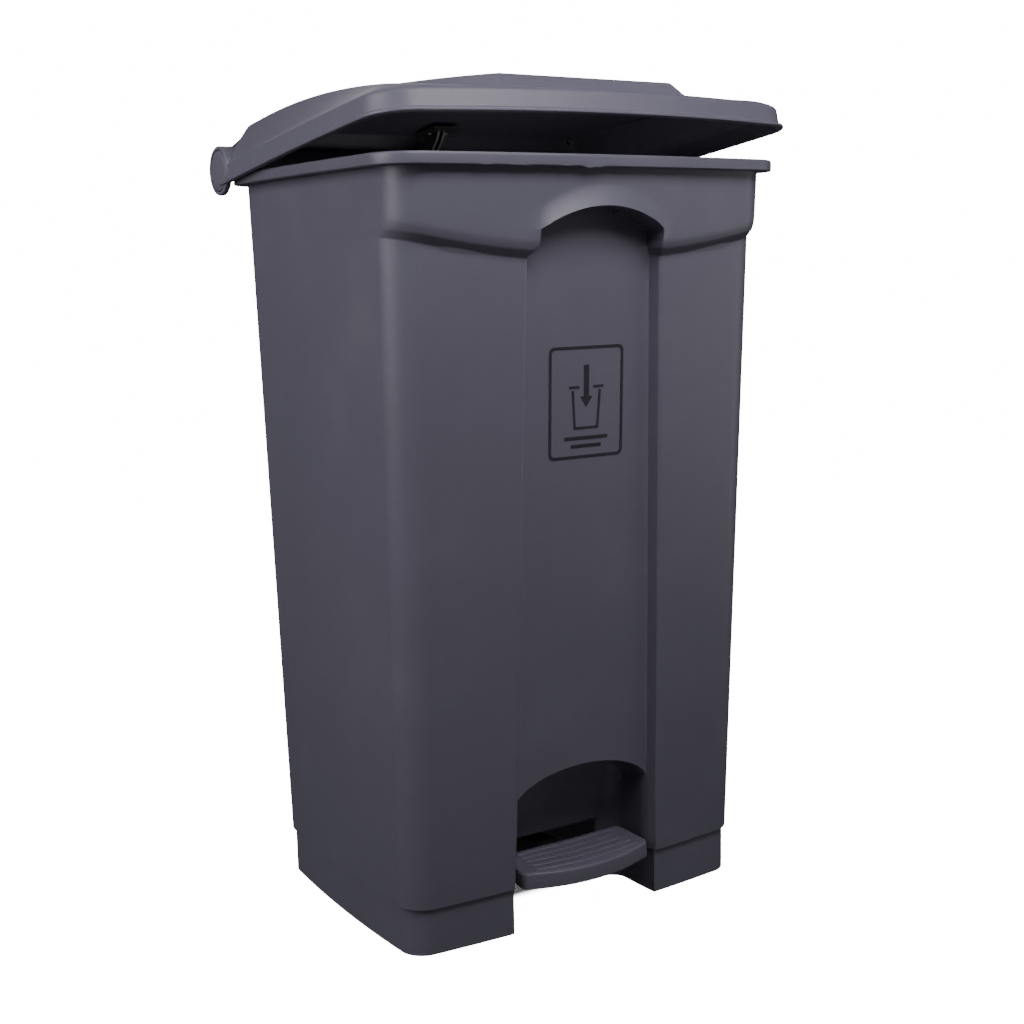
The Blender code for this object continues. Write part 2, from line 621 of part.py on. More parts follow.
def make_rear_fittings():
    inner = GROOVE_FLOOR_Y + GAP
    cover_t = 0.002
    low_z, high_z = 0.062, 0.746
    screw_x = 0.0085
    spots = []
    for word, z in (("lower", 0.125), ("upper", 0.530)):
        outer = rear_y(z - 0.010) - GAP
        guide = block(f"rod_guide_{word}", (-GROOVE_HALF + GAP, inner, z - 0.010),
                      (GROOVE_HALF - GAP, outer, z + 0.010), BLACK_NYLON)
        boolean(guide, cylinder(f"guide_bore_{word}", ROD_R + 0.0004,
                                (0, ROD_LOW_Y, z - 0.02), (0, ROD_LOW_Y, z + 0.02)))
        boolean(guide, cylinder(f"guide_screw_{word}", 0.0020,
                                (screw_x, outer - 0.009, z),
                                (screw_x, outer + 0.01, z), sides=16))
        spots.append((word, z))
    lean = (rear_y(high_z) - rear_y(low_z)) / (high_z - low_z)
    base = rear_y(low_z) + 2 * GAP
    strip = [(base, low_z), (base + cover_t, low_z),
             (base + cover_t + lean * (high_z - low_z), high_z),
             (base + lean * (high_z - low_z), high_z)]
    cover = prism("rod_cover", strip, "X", (-0.019, 0.019), TUB_PLASTIC)
    for word, z in spots:
        y = base + lean * (z - low_z)
        boolean(cover, cylinder(f"cover_hole_{word}", 0.0020, (screw_x, y - 0.01, z),
                                (screw_x, y + 0.01, z), sides=16))
        screw(f"cover_screw_{word}", (screw_x, y + cover_t + 0.0001, z),
              (0, -1, 0), 0.0095)
    cylinder("hinge_rod", HINGE_ROD_R, (-HINGE_ROD_HALF, HINGE_Y, HINGE_Z),
             (HINGE_ROD_HALF, HINGE_Y, HINGE_Z), STEEL, sides=16)


# ---- pedal ------------------------------------------------------------------------------
def pedal_ring(inset, z_back, z_front):
    """Outline of the tread: bowed front edge, round front corners."""
    back, front = PEDAL_BACK_Y - inset, PEDAL_FRONT_Y + inset

    def tall(x, y):
        t = (y - back) / (PEDAL_FRONT_Y - PEDAL_BOW - back)
        return z_back + (z_front - z_back) * t
    points = ring(PEDAL_HALF[1] - inset, front, back, 0.0,
                  (0.016 - inset, 0.016 - inset), (0.006, 0.006),
                  bow=(0.0, 0.0), side_steps=6)
    out = []
    for x, y, _ in points:
        t = (back - y) / (back - front)
        wide = (PEDAL_HALF[0] + (PEDAL_HALF[1] - PEDAL_HALF[0]) * t) / PEDAL_HALF[1]
        bowed = y - PEDAL_BOW * t * (1 - (x / PEDAL_HALF[1]) ** 2)
        out.append((x * wide, bowed, tall(x, bowed)))
    return out


def rib_outline(y, half, wide=0.0022, steps=6):
    """A thin bar bent like the tread's front edge, seen from above."""
    xs = [half * (2 * i / steps - 1) for i in range(steps + 1)]
    t = (PEDAL_BACK_Y - y) / (PEDAL_BACK_Y - PEDAL_FRONT_Y)
    bend = [-PEDAL_BOW * t * (1 - (x / PEDAL_HALF[1]) ** 2) for x in xs]
    low = [(x, y + b - wide / 2) for x, b in zip(xs, bend)]
    high = [(x, y + b + wide / 2) for x, b in zip(xs, bend)]
    return low + high[::-1]


def make_pedal(pivot):
    top, skirt, wall = PEDAL_TOP, PEDAL_SKIRT, PEDAL_WALL
    tread = loft("pedal_tread",
                 [pedal_ring(0.0, top[0] - skirt, top[1] - skirt),
                  pedal_ring(0.0, top[0] - 0.0025, top[1] - 0.0025),
                  pedal_ring(0.0020, top[0], top[1])], TUB_PLASTIC)
    boolean(tread, loft("tread_inside",
                        [pedal_ring(wall, top[0] - skirt - 0.01, top[1] - skirt - 0.01),
                         pedal_ring(wall, top[0] - wall, top[1] - wall)]))
    # the back of the skirt is open for the lever
    boolean(tread, block("tread_gate", (-0.040, PEDAL_BACK_Y - 0.008, 0.03),
                         (0.040, PEDAL_BACK_Y + 0.01, top[0] - wall)))
    for i in range(RIB_COUNT):
        t = (i + 1) / (RIB_COUNT + 1)
        y = PEDAL_BACK_Y + (PEDAL_FRONT_Y - PEDAL_BACK_Y) * t
        z = top[0] + (top[1] - top[0]) * t
        boolean(tread, prism(f"rib_{i}", rib_outline(y, 0.062), "Z",
                             (z - 0.0015, z + 0.0014)), "UNION")
    tread.parent = pivot

    # lever: a bar from under the tread, through its hub, back to the rod
    tail = ROD_LOW_Y + 0.006
    front_y = PEDAL_FRONT_Y - 0.002
    roof = top[1] - wall - 0.0008
    bar = [(tail, AXLE_Z - 0.0065), (tail, AXLE_Z + 0.0065),
           (AXLE_Y + 0.02, AXLE_Z + 0.009), (AXLE_Y - 0.02, AXLE_Z + 0.0105),
           (PEDAL_BACK_Y + 0.01, roof), (front_y, roof), (front_y, roof - 0.006),
           (PEDAL_BACK_Y + 0.01, roof - 0.012), (AXLE_Y - 0.02, AXLE_Z - 0.005)]
    lever = prism("pedal_lever", bar, "X", (-LEVER_HALF, LEVER_HALF), BLACK_NYLON)
    axis = (AXLE_Y, AXLE_Z)
    boolean(lever, cylinder("hub", HUB_R, (-HUB_HALF, *axis), (HUB_HALF, *axis)),
            "UNION")
    boolean(lever, block("front_pad", (-0.032, front_y + 0.0005, roof - 0.0055),
                         (0.032, PEDAL_BACK_Y - 0.004, roof - 0.0005)), "UNION")
    boolean(lever, cylinder("hub_bore", 0.0068, (-0.05, *axis), (0.05, *axis)))
    boolean(lever, block("foot_slot", (-PLATE - 0.0005, ROD_LOW_Y - 0.014, 0.0),
                         (PLATE + 0.0005, 0.2, 0.08)))
    pin = (ROD_LOW_Y, AXLE_Z)
    boolean(lever, cylinder("foot_pin_hole", PIN_R + GAP, (-0.03, *pin), (0.03, *pin)))
    foot_pin = cylinder("foot_pin", PIN_R, (-LEVER_HALF - 0.002, *pin),
                        (LEVER_HALF + 0.002, *pin), STEEL)
    for side, word in ((-1, "left"), (1, "right")):
        bush = cylinder(f"axle_bush_{word}", 0.0065,
                        (side * (HUB_HALF - 0.012), *axis),
                        (side * (HUB_HALF + 0.001), *axis), BLACK_NYLON)
        boolean(bush, cylinder(f"bush_bore_{word}", AXLE_R + GAP, (side * 0.01, *axis),
                               (side * 0.05, *axis)))
        bush.parent = pivot
        inner = side * (HANGER_X[1] + GAP)
        clip = cylinder(f"axle_clip_{word}", 0.0075, (inner, *axis),
                        (inner + side * 0.0012, *axis), STEEL)
        boolean(clip, cylinder(f"clip_bore_{word}", AXLE_R + GAP,
                               (side * 0.03, *axis), (side * 0.06, *axis)))
    cylinder("pedal_axle", AXLE_R, (-AXLE_HALF, *axis), (AXLE_HALF, *axis), STEEL)
    for side, word in ((-1, "left"), (1, "right")):
        x, y = side * 0.024, (front_y + PEDAL_BACK_Y) / 2
        boolean(lever, cylinder(f"pad_hole_{word}", 0.0020, (x, y, 0.03),
                                (x, y, 0.10), sides=16))
        screw(f"pedal_screw_{word}", (x, y, roof - 0.0055), (0, 0, 1),
              0.0050).parent = pivot
    for piece in (lever, foot_pin):
        piece.parent = pivot


# ---- printed sign on the channel's floor ---------------------------------------------------
def make_sign():
    front = PLINTH_Y - LOW_HALF[1]
    skin = 0.0004
    face = front + CHANNEL_DEPTH - GAP
    # the thin film is made upright at the channel's floor, then leaned with it
    film = block("sign_film", (-SIGN_HALF[0], face - skin, SIGN_Z - SIGN_HALF[1]),
                 (SIGN_HALF[0], face, SIGN_Z + SIGN_HALF[1]), INK)
    slanted(film, front)


def pivot_empty(name, place, angle=0.0):
    """An empty on a joint's axis; its children keep their world places, and
    turn with it by angle about X."""
    empty = bpy.data.objects.new(name, None)
    empty.location = place
    PARTS.objects.link(empty)
    empty["opening"] = angle
    return empty


def settle(empty):
    """Move the children's meshes to the empty's frame, then tilt the empty."""
    shift = Matrix.Translation(-empty.location)
    cutters = set()

    def gather(obj):
        for mod in obj.modifiers:
            if mod.object not in cutters:
                cutters.add(mod.object)
                gather(mod.object)
    for child in empty.children:
        gather(child)
        child.data.transform(shift)
    for cutter in cutters:
        cutter.data.transform(shift)
        cutter.parent = empty
    empty.rotation_euler = (-empty["opening"], 0.0, 0.0)


make_tub()
make_sign()
make_rear_fittings()
lid_pivot = pivot_empty("lid_pivot", (0, HINGE_Y, HINGE_Z), LID_AJAR)
make_lid(lid_pivot)
pedal_pivot = pivot_empty("pedal_pivot", (0, AXLE_Y, AXLE_Z))
make_pedal(pedal_pivot)
rod_slide = pivot_empty("rod_slide", (0, ROD_LOW_Y, AXLE_Z))
make_rod(rod_slide)
for empty_ in (lid_pivot, pedal_pivot, rod_slide):
    settle(empty_)
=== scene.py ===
import json
import math

import bmesh
import bpy
import numpy as np
from mathutils import Matrix, Vector


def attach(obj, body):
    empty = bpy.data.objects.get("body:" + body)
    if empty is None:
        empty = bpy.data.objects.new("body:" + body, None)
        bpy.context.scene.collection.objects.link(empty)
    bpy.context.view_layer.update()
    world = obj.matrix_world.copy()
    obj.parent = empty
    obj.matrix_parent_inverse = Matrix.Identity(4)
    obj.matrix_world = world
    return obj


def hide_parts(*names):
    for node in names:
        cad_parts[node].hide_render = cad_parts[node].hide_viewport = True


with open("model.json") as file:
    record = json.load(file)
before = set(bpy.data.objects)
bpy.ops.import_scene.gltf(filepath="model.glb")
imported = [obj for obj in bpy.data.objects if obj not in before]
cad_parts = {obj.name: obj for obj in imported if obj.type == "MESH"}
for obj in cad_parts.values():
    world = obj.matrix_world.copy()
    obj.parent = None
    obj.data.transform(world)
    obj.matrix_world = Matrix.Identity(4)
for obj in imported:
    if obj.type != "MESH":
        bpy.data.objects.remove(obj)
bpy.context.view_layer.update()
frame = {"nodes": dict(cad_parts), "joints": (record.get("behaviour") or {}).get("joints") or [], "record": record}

print("frame loaded:", len(frame["nodes"]), "nodes")

joints = {j["name"]: j for j in frame["joints"]}
hinge = {"y": joints["lid_hinge"]["pos_m"][1], "z": joints["lid_hinge"]["pos_m"][2],
         "ajar": -math.radians(joints["lid_hinge"]["range_deg"][0])}
axle = {"y": joints["pedal_hinge"]["pos_m"][1], "z": joints["pedal_hinge"]["pos_m"][2]}
middleY = hinge["y"] - 0.184            # middle of the rim, front to back


# smooth step: 0 below a, 1 above b, 3t^2 - 2t^3 between
def step(a, b, x):
    t = np.clip((x - a) / (b - a), 0.0, 1.0)
    return t * t * (3 - 2 * t)


# straight ramp: 0 below a, 1 above b
def ramp(a, b, x):
    return np.clip((x - a) / (b - a), 0.0, 1.0)


def mix(a, b, t):
    return a + (b - a) * t


# grid values between the stops, counts[i] steps in span i
def spread(stops, counts):
    parts = [np.linspace(a, b, n, endpoint=False)
             for a, b, n in zip(stops, stops[1:], counts)]
    return np.concatenate(parts + [[stops[-1]]])


# an object at the origin from points (n, 3) and a list of faces
def meshObject(name, points, faces, smooth=35.0):
    mesh = bpy.data.meshes.new(name)
    mesh.from_pydata(points.tolist(), [], faces)
    bm = bmesh.new()
    bm.from_mesh(mesh)
    bmesh.ops.remove_doubles(bm, verts=bm.verts, dist=1e-6)
    bmesh.ops.dissolve_degenerate(bm, edges=bm.edges, dist=1e-7)
    bmesh.ops.recalc_face_normals(bm, faces=bm.faces)
    bmesh.ops.triangulate(bm, faces=[f for f in bm.faces if len(f.verts) > 4])
    bm.to_mesh(mesh)
    bm.free()
    mesh.shade_smooth()
    mesh.set_sharp_from_angle(angle=math.radians(smooth))
    obj = bpy.data.objects.new(name, mesh)
    bpy.context.scene.collection.objects.link(obj)
    return obj


# quads of a rows x cols grid of vertices; wrap closes each row
def gridFaces(rows, cols, wrap=True, start=0):
    r = np.arange(rows - 1)[:, None]
    c = np.arange(cols if wrap else cols - 1)[None, :]
    d = (c + 1) % cols
    quads = np.stack(np.broadcast_arrays(r * cols + c, r * cols + d,
                                         (r + 1) * cols + d, (r + 1) * cols + c), -1)
    return (quads.reshape(-1, 4) + start).tolist()


# a closed skin from grid (rows, cols, 3): rows wrap, both ends get a cap
def closedTube(name, grid, smooth=35.0):
    rows, cols = grid.shape[:2]
    faces = gridFaces(rows, cols)
    faces.append(list(range(cols))[::-1])
    faces.append([(rows - 1) * cols + i for i in range(cols)])
    return meshObject(name, grid.reshape(-1, 3), faces, smooth)


# a turned piece: profile pairs (distance along way, radius) spun round the
# line through centre; with no end on the axis it closes into a ring
def turned(name, profile, centre, way, sides=64, smooth=35.0):
    way = Vector(way).normalized()
    side = way.orthogonal().normalized()
    other = way.cross(side)
    along, radius = np.array(profile, float).T
    a = np.linspace(0, 2 * math.pi, sides, endpoint=False)
    ring = np.cos(a)[None, :, None] * np.array(side) + np.sin(a)[None, :, None] * np.array(other)
    grid = (np.array(centre) + along[:, None, None] * np.array(way)
            + radius[:, None, None] * ring)
    faces = gridFaces(len(profile), sides)
    if radius[0] > 1e-9 and radius[-1] > 1e-9:      # a ring: join last row to first
        n = (len(profile) - 1) * sides
        faces += [[n + i, n + (i + 1) % sides, (i + 1) % sides, i] for i in range(sides)]
    return meshObject(name, grid.reshape(-1, 3), faces, smooth)


# rows of points with the edge at each inner row rounded: a quadratic arc
# between the points that lie the radius before and after it
def rounded(rows, radii, steps=5):
    out = [rows[0]]
    for before, here, after, radius in zip(rows, rows[1:], rows[2:], radii):
        back, ahead = before - here, after - here
        lb = np.linalg.norm(back, axis=1, keepdims=True) + 1e-9
        la = np.linalg.norm(ahead, axis=1, keepdims=True) + 1e-9
        r = np.minimum(radius, 0.45 * np.minimum(lb, la))
        a, b = here + back / lb * r, here + ahead / la * r
        for t in np.linspace(0, 1, steps if radius else 1):
            out.append((1 - t) ** 2 * a + 2 * t * (1 - t) * here + t * t * b)
    return out + [rows[-1]]


# points and faces of a flat outline (n, 2) with thickness from low to high;
# place turns the arrays u, v, w into x, y, z
def plate(outline, low, high, place):
    outline = np.array(outline, float)
    n = len(outline)
    u, v = outline.T
    points = np.concatenate([np.stack(place(u, v, np.full(n, low)), -1),
                             np.stack(place(u, v, np.full(n, high)), -1)])
    faces = [list(range(n))[::-1], list(range(n, 2 * n))]
    faces += [[i, (i + 1) % n, n + (i + 1) % n, n + i] for i in range(n)]
    return points, faces


# one object from several closed parts
def joined(name, parts, smooth=30.0):
    points, faces, start = [], [], 0
    for p, f in parts:
        points.append(p)
        faces += [[i + start for i in face] for face in f]
        start += len(p)
    return meshObject(name, np.concatenate(points), faces, smooth)


def box(x, y, z):
    return plate([(x[0], y[0]), (x[1], y[0]), (x[1], y[1]), (x[0], y[1])], z[0], z[1],
                 lambda u, v, w: (u, v, w))


# one socket with arithmetic: a * b + c on wires adds Math nodes
class Wire:
    def __init__(self, paint, socket):
        self.paint, self.socket = paint, socket

    def _do(self, operation, a, b=None, c=None):
        values = [v for v in (a, b, c) if v is not None]
        return self.paint.node("ShaderNodeMath", {"operation": operation}, values)

    def __add__(self, other): return self._do("ADD", self, other)
    def __radd__(self, other): return self._do("ADD", other, self)
    def __sub__(self, other): return self._do("SUBTRACT", self, other)
    def __rsub__(self, other): return self._do("SUBTRACT", other, self)
    def __mul__(self, other): return self._do("MULTIPLY", self, other)
    def __rmul__(self, other): return self._do("MULTIPLY", other, self)
    def __abs__(self): return self._do("ABSOLUTE", self)

    # 0 below low, 1 above high, smooth between
    def ramp(self, low, high):
        return self.paint.node("ShaderNodeMapRange",
                               {"interpolation_type": "SMOOTHSTEP"},
                               {"Value": self, "From Min": low, "From Max": high})


# a material being wired: node() adds any node, then sets its sockets
class Paint:
    def __init__(self, name):
        self.mat = bpy.data.materials.new(name)
        self.mat.use_nodes = True
        self.tree = self.mat.node_tree
        self.shader = self.tree.nodes["Principled BSDF"]
        self.coords = self.node("ShaderNodeTexCoord", {}, {}, "Object")

    def put(self, socket, value):
        if isinstance(value, Wire):
            self.tree.links.new(value.socket, socket)
        else:
            socket.default_value = value

    def node(self, kind, settings, values, out=0):
        made = self.tree.nodes.new(kind)
        for key, value in settings.items():
            setattr(made, key, value)
        pairs = values.items() if isinstance(values, dict) else enumerate(values)
        for key, value in pairs:
            self.put(made.inputs[key], value)
        return Wire(self, made.outputs[out])

    def noise(self, scale, detail=3.0, rough=0.5, vector=None):
        return self.node("ShaderNodeTexNoise", {},
                         {"Vector": vector or self.coords, "Scale": scale,
                          "Detail": detail, "Roughness": rough}, "Fac")

    def blend(self, factor, a, b):
        made = self.tree.nodes.new("ShaderNodeMix")
        made.data_type = "RGBA"
        self.put(made.inputs[0], factor)
        self.put(made.inputs[6], a)
        self.put(made.inputs[7], b)
        return Wire(self, made.outputs[2])

    def split(self, vector):
        made = self.tree.nodes.new("ShaderNodeSeparateXYZ")
        self.put(made.inputs[0], vector)
        return [Wire(self, out) for out in made.outputs]

    def bump(self, height, distance, strength=1.0, normal=None):
        values = {"Height": height, "Distance": distance, "Strength": strength}
        if normal is not None:
            values["Normal"] = normal
        return self.node("ShaderNodeBump", {}, values, "Normal")

    def finish(self, **sockets):
        for key, value in sockets.items():
            self.put(self.shader.inputs[key.replace("_", " ")], value)
        return self.mat


plasticLook = {
    "tub": (0.116, 0.109, 0.149), "lid": (0.130, 0.122, 0.165),
    "roughness": 0.45, "grain": 1500.0, "grainDepth": 0.00010,
    "mottle": 9.0, "mottleAmount": 0.10, "dust": 0.05,
}


# sparked mould texture: fine grain bump, slow tone drift, faint rub marks
def mouldedPlastic(name, colour):
    look = plasticLook
    p = Paint(name)
    grain = p.noise(look["grain"], 2.0, 0.6)
    coarse = p.noise(look["grain"] * 0.35, 2.0, 0.5)
    drift = p.noise(look["mottle"], 4.0, 0.55)
    streak = p.noise(1.0, 3.0, 0.5, p.node("ShaderNodeMapping", {}, {
        "Vector": p.coords, "Scale": (140.0, 140.0, 5.0)}))
    tone = (drift - 0.5) * (2 * look["mottleAmount"]) + (streak - 0.5) * 0.06
    light = tuple(min(1.0, v * 1.22) for v in colour) + (1.0,)
    dark = tuple(v * 0.80 for v in colour) + (1.0,)
    base = p.blend(tone + (grain - 0.5) * 0.25 + 0.5, dark, light)
    dusty = (drift.ramp(0.52, 0.80)) * look["dust"]
    base = p.blend(dusty, base, (0.30, 0.30, 0.32, 1.0))
    rough = look["roughness"] + (drift - 0.5) * 0.12 + (coarse - 0.5) * 0.10
    height = grain * 0.6 + coarse * 0.8
    normal = p.bump(height, look["grainDepth"], 0.65)
    wave = p.noise(14.0, 2.0, 0.4)
    normal = p.bump(wave, 0.0012, 0.35, normal)
    return p.finish(Base_Color=base, Roughness=rough, Normal=normal,
                    IOR=1.49, Specular_IOR_Level=0.5)


def blackNylon():
    p = Paint("black_nylon_moulded")
    grain = p.noise(900.0, 3.0, 0.6)
    drift = p.noise(40.0, 3.0, 0.5)
    base = p.blend(drift, (0.012, 0.012, 0.013, 1.0), (0.032, 0.032, 0.035, 1.0))
    return p.finish(Base_Color=base, Roughness=0.38 + grain * 0.2,
                    Normal=p.bump(grain, 0.0001, 0.5))


def zincSteel():
    p = Paint("zinc_plated_steel")
    drawn = p.noise(1.0, 4.0, 0.6, p.node("ShaderNodeMapping", {}, {
        "Vector": p.coords, "Scale": (2200.0, 2200.0, 60.0)}))
    patch = p.noise(120.0, 4.0, 0.6)
    base = p.blend(patch, (0.30, 0.30, 0.29, 1.0), (0.46, 0.45, 0.43, 1.0))
    return p.finish(Base_Color=base, Metallic=1.0,
                    Roughness=0.25 + patch * 0.2 + drawn * 0.08,
                    Normal=p.bump(drawn, 0.00005, 0.4))


def signInk():
    p = Paint("sign_ink_print")
    speck = p.noise(2600.0, 2.0, 0.6)
    worn = p.noise(70.0, 5.0, 0.65)
    base = p.blend(worn.ramp(0.35, 0.85) * 0.5, (0.013, 0.013, 0.020, 1.0),
                   (0.035, 0.034, 0.048, 1.0))
    return p.finish(Base_Color=base, Roughness=0.55 + speck * 0.15,
                    Normal=p.bump(speck, 0.00008, 0.5))


tubPaint = mouldedPlastic("tub_moulded_plastic", plasticLook["tub"])
lidPaint = mouldedPlastic("lid_moulded_plastic", plasticLook["lid"])
nylonPaint = blackNylon()
steelPaint = zincSteel()
inkPaint = signInk()
slotPaint = {"tub_plastic": tubPaint, "lid_plastic": lidPaint,
             "black_nylon": nylonPaint, "zinc_steel": steelPaint, "sign_ink": inkPaint}
print("materials made")


# paint from the slot, ride on the body, stand for the CAD nodes
def dress(obj, body, slot, *nodes):
    obj.data.materials.clear()
    obj.data.materials.append(slotPaint[slot])
    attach(obj, body)
    if nodes:
        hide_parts(*nodes)
    return obj


tub = {
    "rimTop": 0.775, "rimLow": 0.7637, "rimHalf": 0.2302, "rimDepth": 0.1943,
    "rimCorner": 0.043, "stepZ": 0.0497,
    "plinthHalf": 0.2039, "plinthDepth": 0.1481, "plinthCorner": 0.027,
    "lowHalf": 0.2070, "topHalf": 0.2163, "lowDepth": 0.1520, "topDepth": 0.1836,
    "lowCorner": 0.030, "topCorner": 0.036, "plinthShift": 0.008,
    "sideBow": 0.0044, "frontBow": 0.0083, "bandStep": 0.0116,
    "wall": 0.003, "floorZ": 0.083, "underZ": 0.080,
    "borderZ": 0.677, "borderCurve": 1.9, "borderTall": 0.012,
    "channelLow": 0.0895, "channelHigh": 0.0775, "channelDepth": 0.0065,
    "channelDraft": 0.0038, "edgeRound": 0.0032,
    "hoodHalf": 0.0718, "hoodTop": 0.7283, "hoodSpring": 0.7068, "hoodFlare": 0.0080,
    "hoodReach": 0.0205,
    "nicheHalf": 0.0853, "nicheTop": 0.162, "nicheSpring": 0.125, "nicheBack": -0.080,
    "nicheCorner": 0.020, "nicheLean": 0.14, "notchHalf": 0.0885,
    "gateHalf": 0.060, "gateTop": 0.071,
    "hangerX": (0.037, 0.043), "hangerDeep": 0.014, "hangerLow": 0.012,
    "lugX": 0.18, "lugThick": 0.006, "lugDeep": (0.0085, 0.0075), "lugLow": 0.768,
    "grooveHalf": 0.013, "grooveFloor": 0.1345,
}
frontSlope = ((tub["topDepth"] - tub["bandStep"] - tub["lowDepth"] + tub["plinthShift"])
              / (tub["rimLow"] - tub["stepZ"]))


# height of a round arch with its springs at +-half
def archHeight(x, half, top, spring):
    rise = top - spring
    radius = (half * half + rise * rise) / (2 * rise)
    inside = np.clip(radius * radius - x * x, (radius - 1.5 * rise) ** 2, None)
    return top - radius + np.sqrt(inside)


# lower border of the band: lowest at the middle, x squared over 1.9 higher
def borderHeight(x):
    return tub["borderZ"] + np.minimum(x * x, 0.0484) / tub["borderCurve"]


# columns round the tub: front stations, corner angle, side run, rear stations
frontStops = [0, 1, 2, 3, 4, 5, 6, 7, 8]
frontCounts = [16, 2, 10, 4, 4, 5, 4, 22]
frontHalf = spread(frontStops, frontCounts)
rearHalf = spread([0, 1, 2, 3, 4], [2, 2, 2, 12])
cornerRun = np.linspace(0, 1, 15)[1:-1]
sideRun = np.linspace(0, 1, 19)
cols = {"kind": [], "value": []}
for kind, values in (("front", np.concatenate([-frontHalf[::-1], frontHalf[1:]])),
                     ("frontRight", cornerRun), ("right", sideRun),
                     ("rearRight", cornerRun),
                     ("rear", np.concatenate([rearHalf[::-1], -rearHalf[1:]])),
                     ("rearLeft", cornerRun), ("left", sideRun),
                     ("frontLeft", cornerRun)):
    cols["kind"] += [kind] * len(values)
    cols["value"].append(values)
colKind = np.array(cols["kind"])
colValue = np.concatenate(cols["value"])


# half width, middle, half depth and corner radius of the tub at height z
def planSizes(z, wall):
    t = (z - tub["stepZ"]) / (tub["rimLow"] - tub["stepZ"])
    up = step(0.0489, 0.0497, z)
    tt = np.maximum(t, 0.0)
    half = mix(tub["plinthHalf"], mix(tub["lowHalf"], tub["topHalf"], tt), up)
    depth = mix(tub["plinthDepth"], mix(tub["lowDepth"], tub["topDepth"], tt), up)
    corner = mix(tub["plinthCorner"], mix(tub["lowCorner"], tub["topCorner"], tt), up)
    centre = middleY + tub["plinthShift"] * (1 - tt)
    return half - wall, centre, depth - wall, np.maximum(corner - wall, 0.012), tt


# x of the front's stations 0..8 at height z: gate side, fillet or niche
# side, foot of the channel wall, its edge, end of the edge's rounding, end
def stations(z, half, wall):
    channel = mix(tub["channelLow"], tub["channelHigh"],
                  (z - 0.05) / (tub["borderZ"] - 0.05))
    hood = step(tub["borderZ"] + 0.001, 0.687, z)
    edge = mix(channel, tub["hoodHalf"], hood) + wall
    draft = mix(tub["channelDraft"], 0.0006, hood)
    rounding = mix(tub["edgeRound"], 0.0007, hood)
    foot = edge - draft
    low = 1 - step(0.162, 0.186, z)                 # here the niche fills the channel
    nicheIn, nicheOut = foot - 0.0008, foot - 0.0002
    s3 = mix(foot - 0.0085, nicheIn, low)
    s4 = mix(foot - 0.0040, nicheOut, low)
    s5 = foot
    below = 1 - step(0.0491, 0.0497, z)              # the wider notch in the plinth
    notch = tub["notchHalf"] + wall
    s3, s4 = mix(s3, notch - 0.0012, below), mix(s4, notch - 0.0008, below)
    s5, edge = mix(s5, notch - 0.0004, below), mix(edge, notch, below)
    s7 = mix(edge + rounding, notch + 0.0012, below)
    gate = tub["gateHalf"] + 0 * z
    return [0 * z, gate - 0.0003, gate + 0.0003, s3, s4, s5, edge, s7, half]


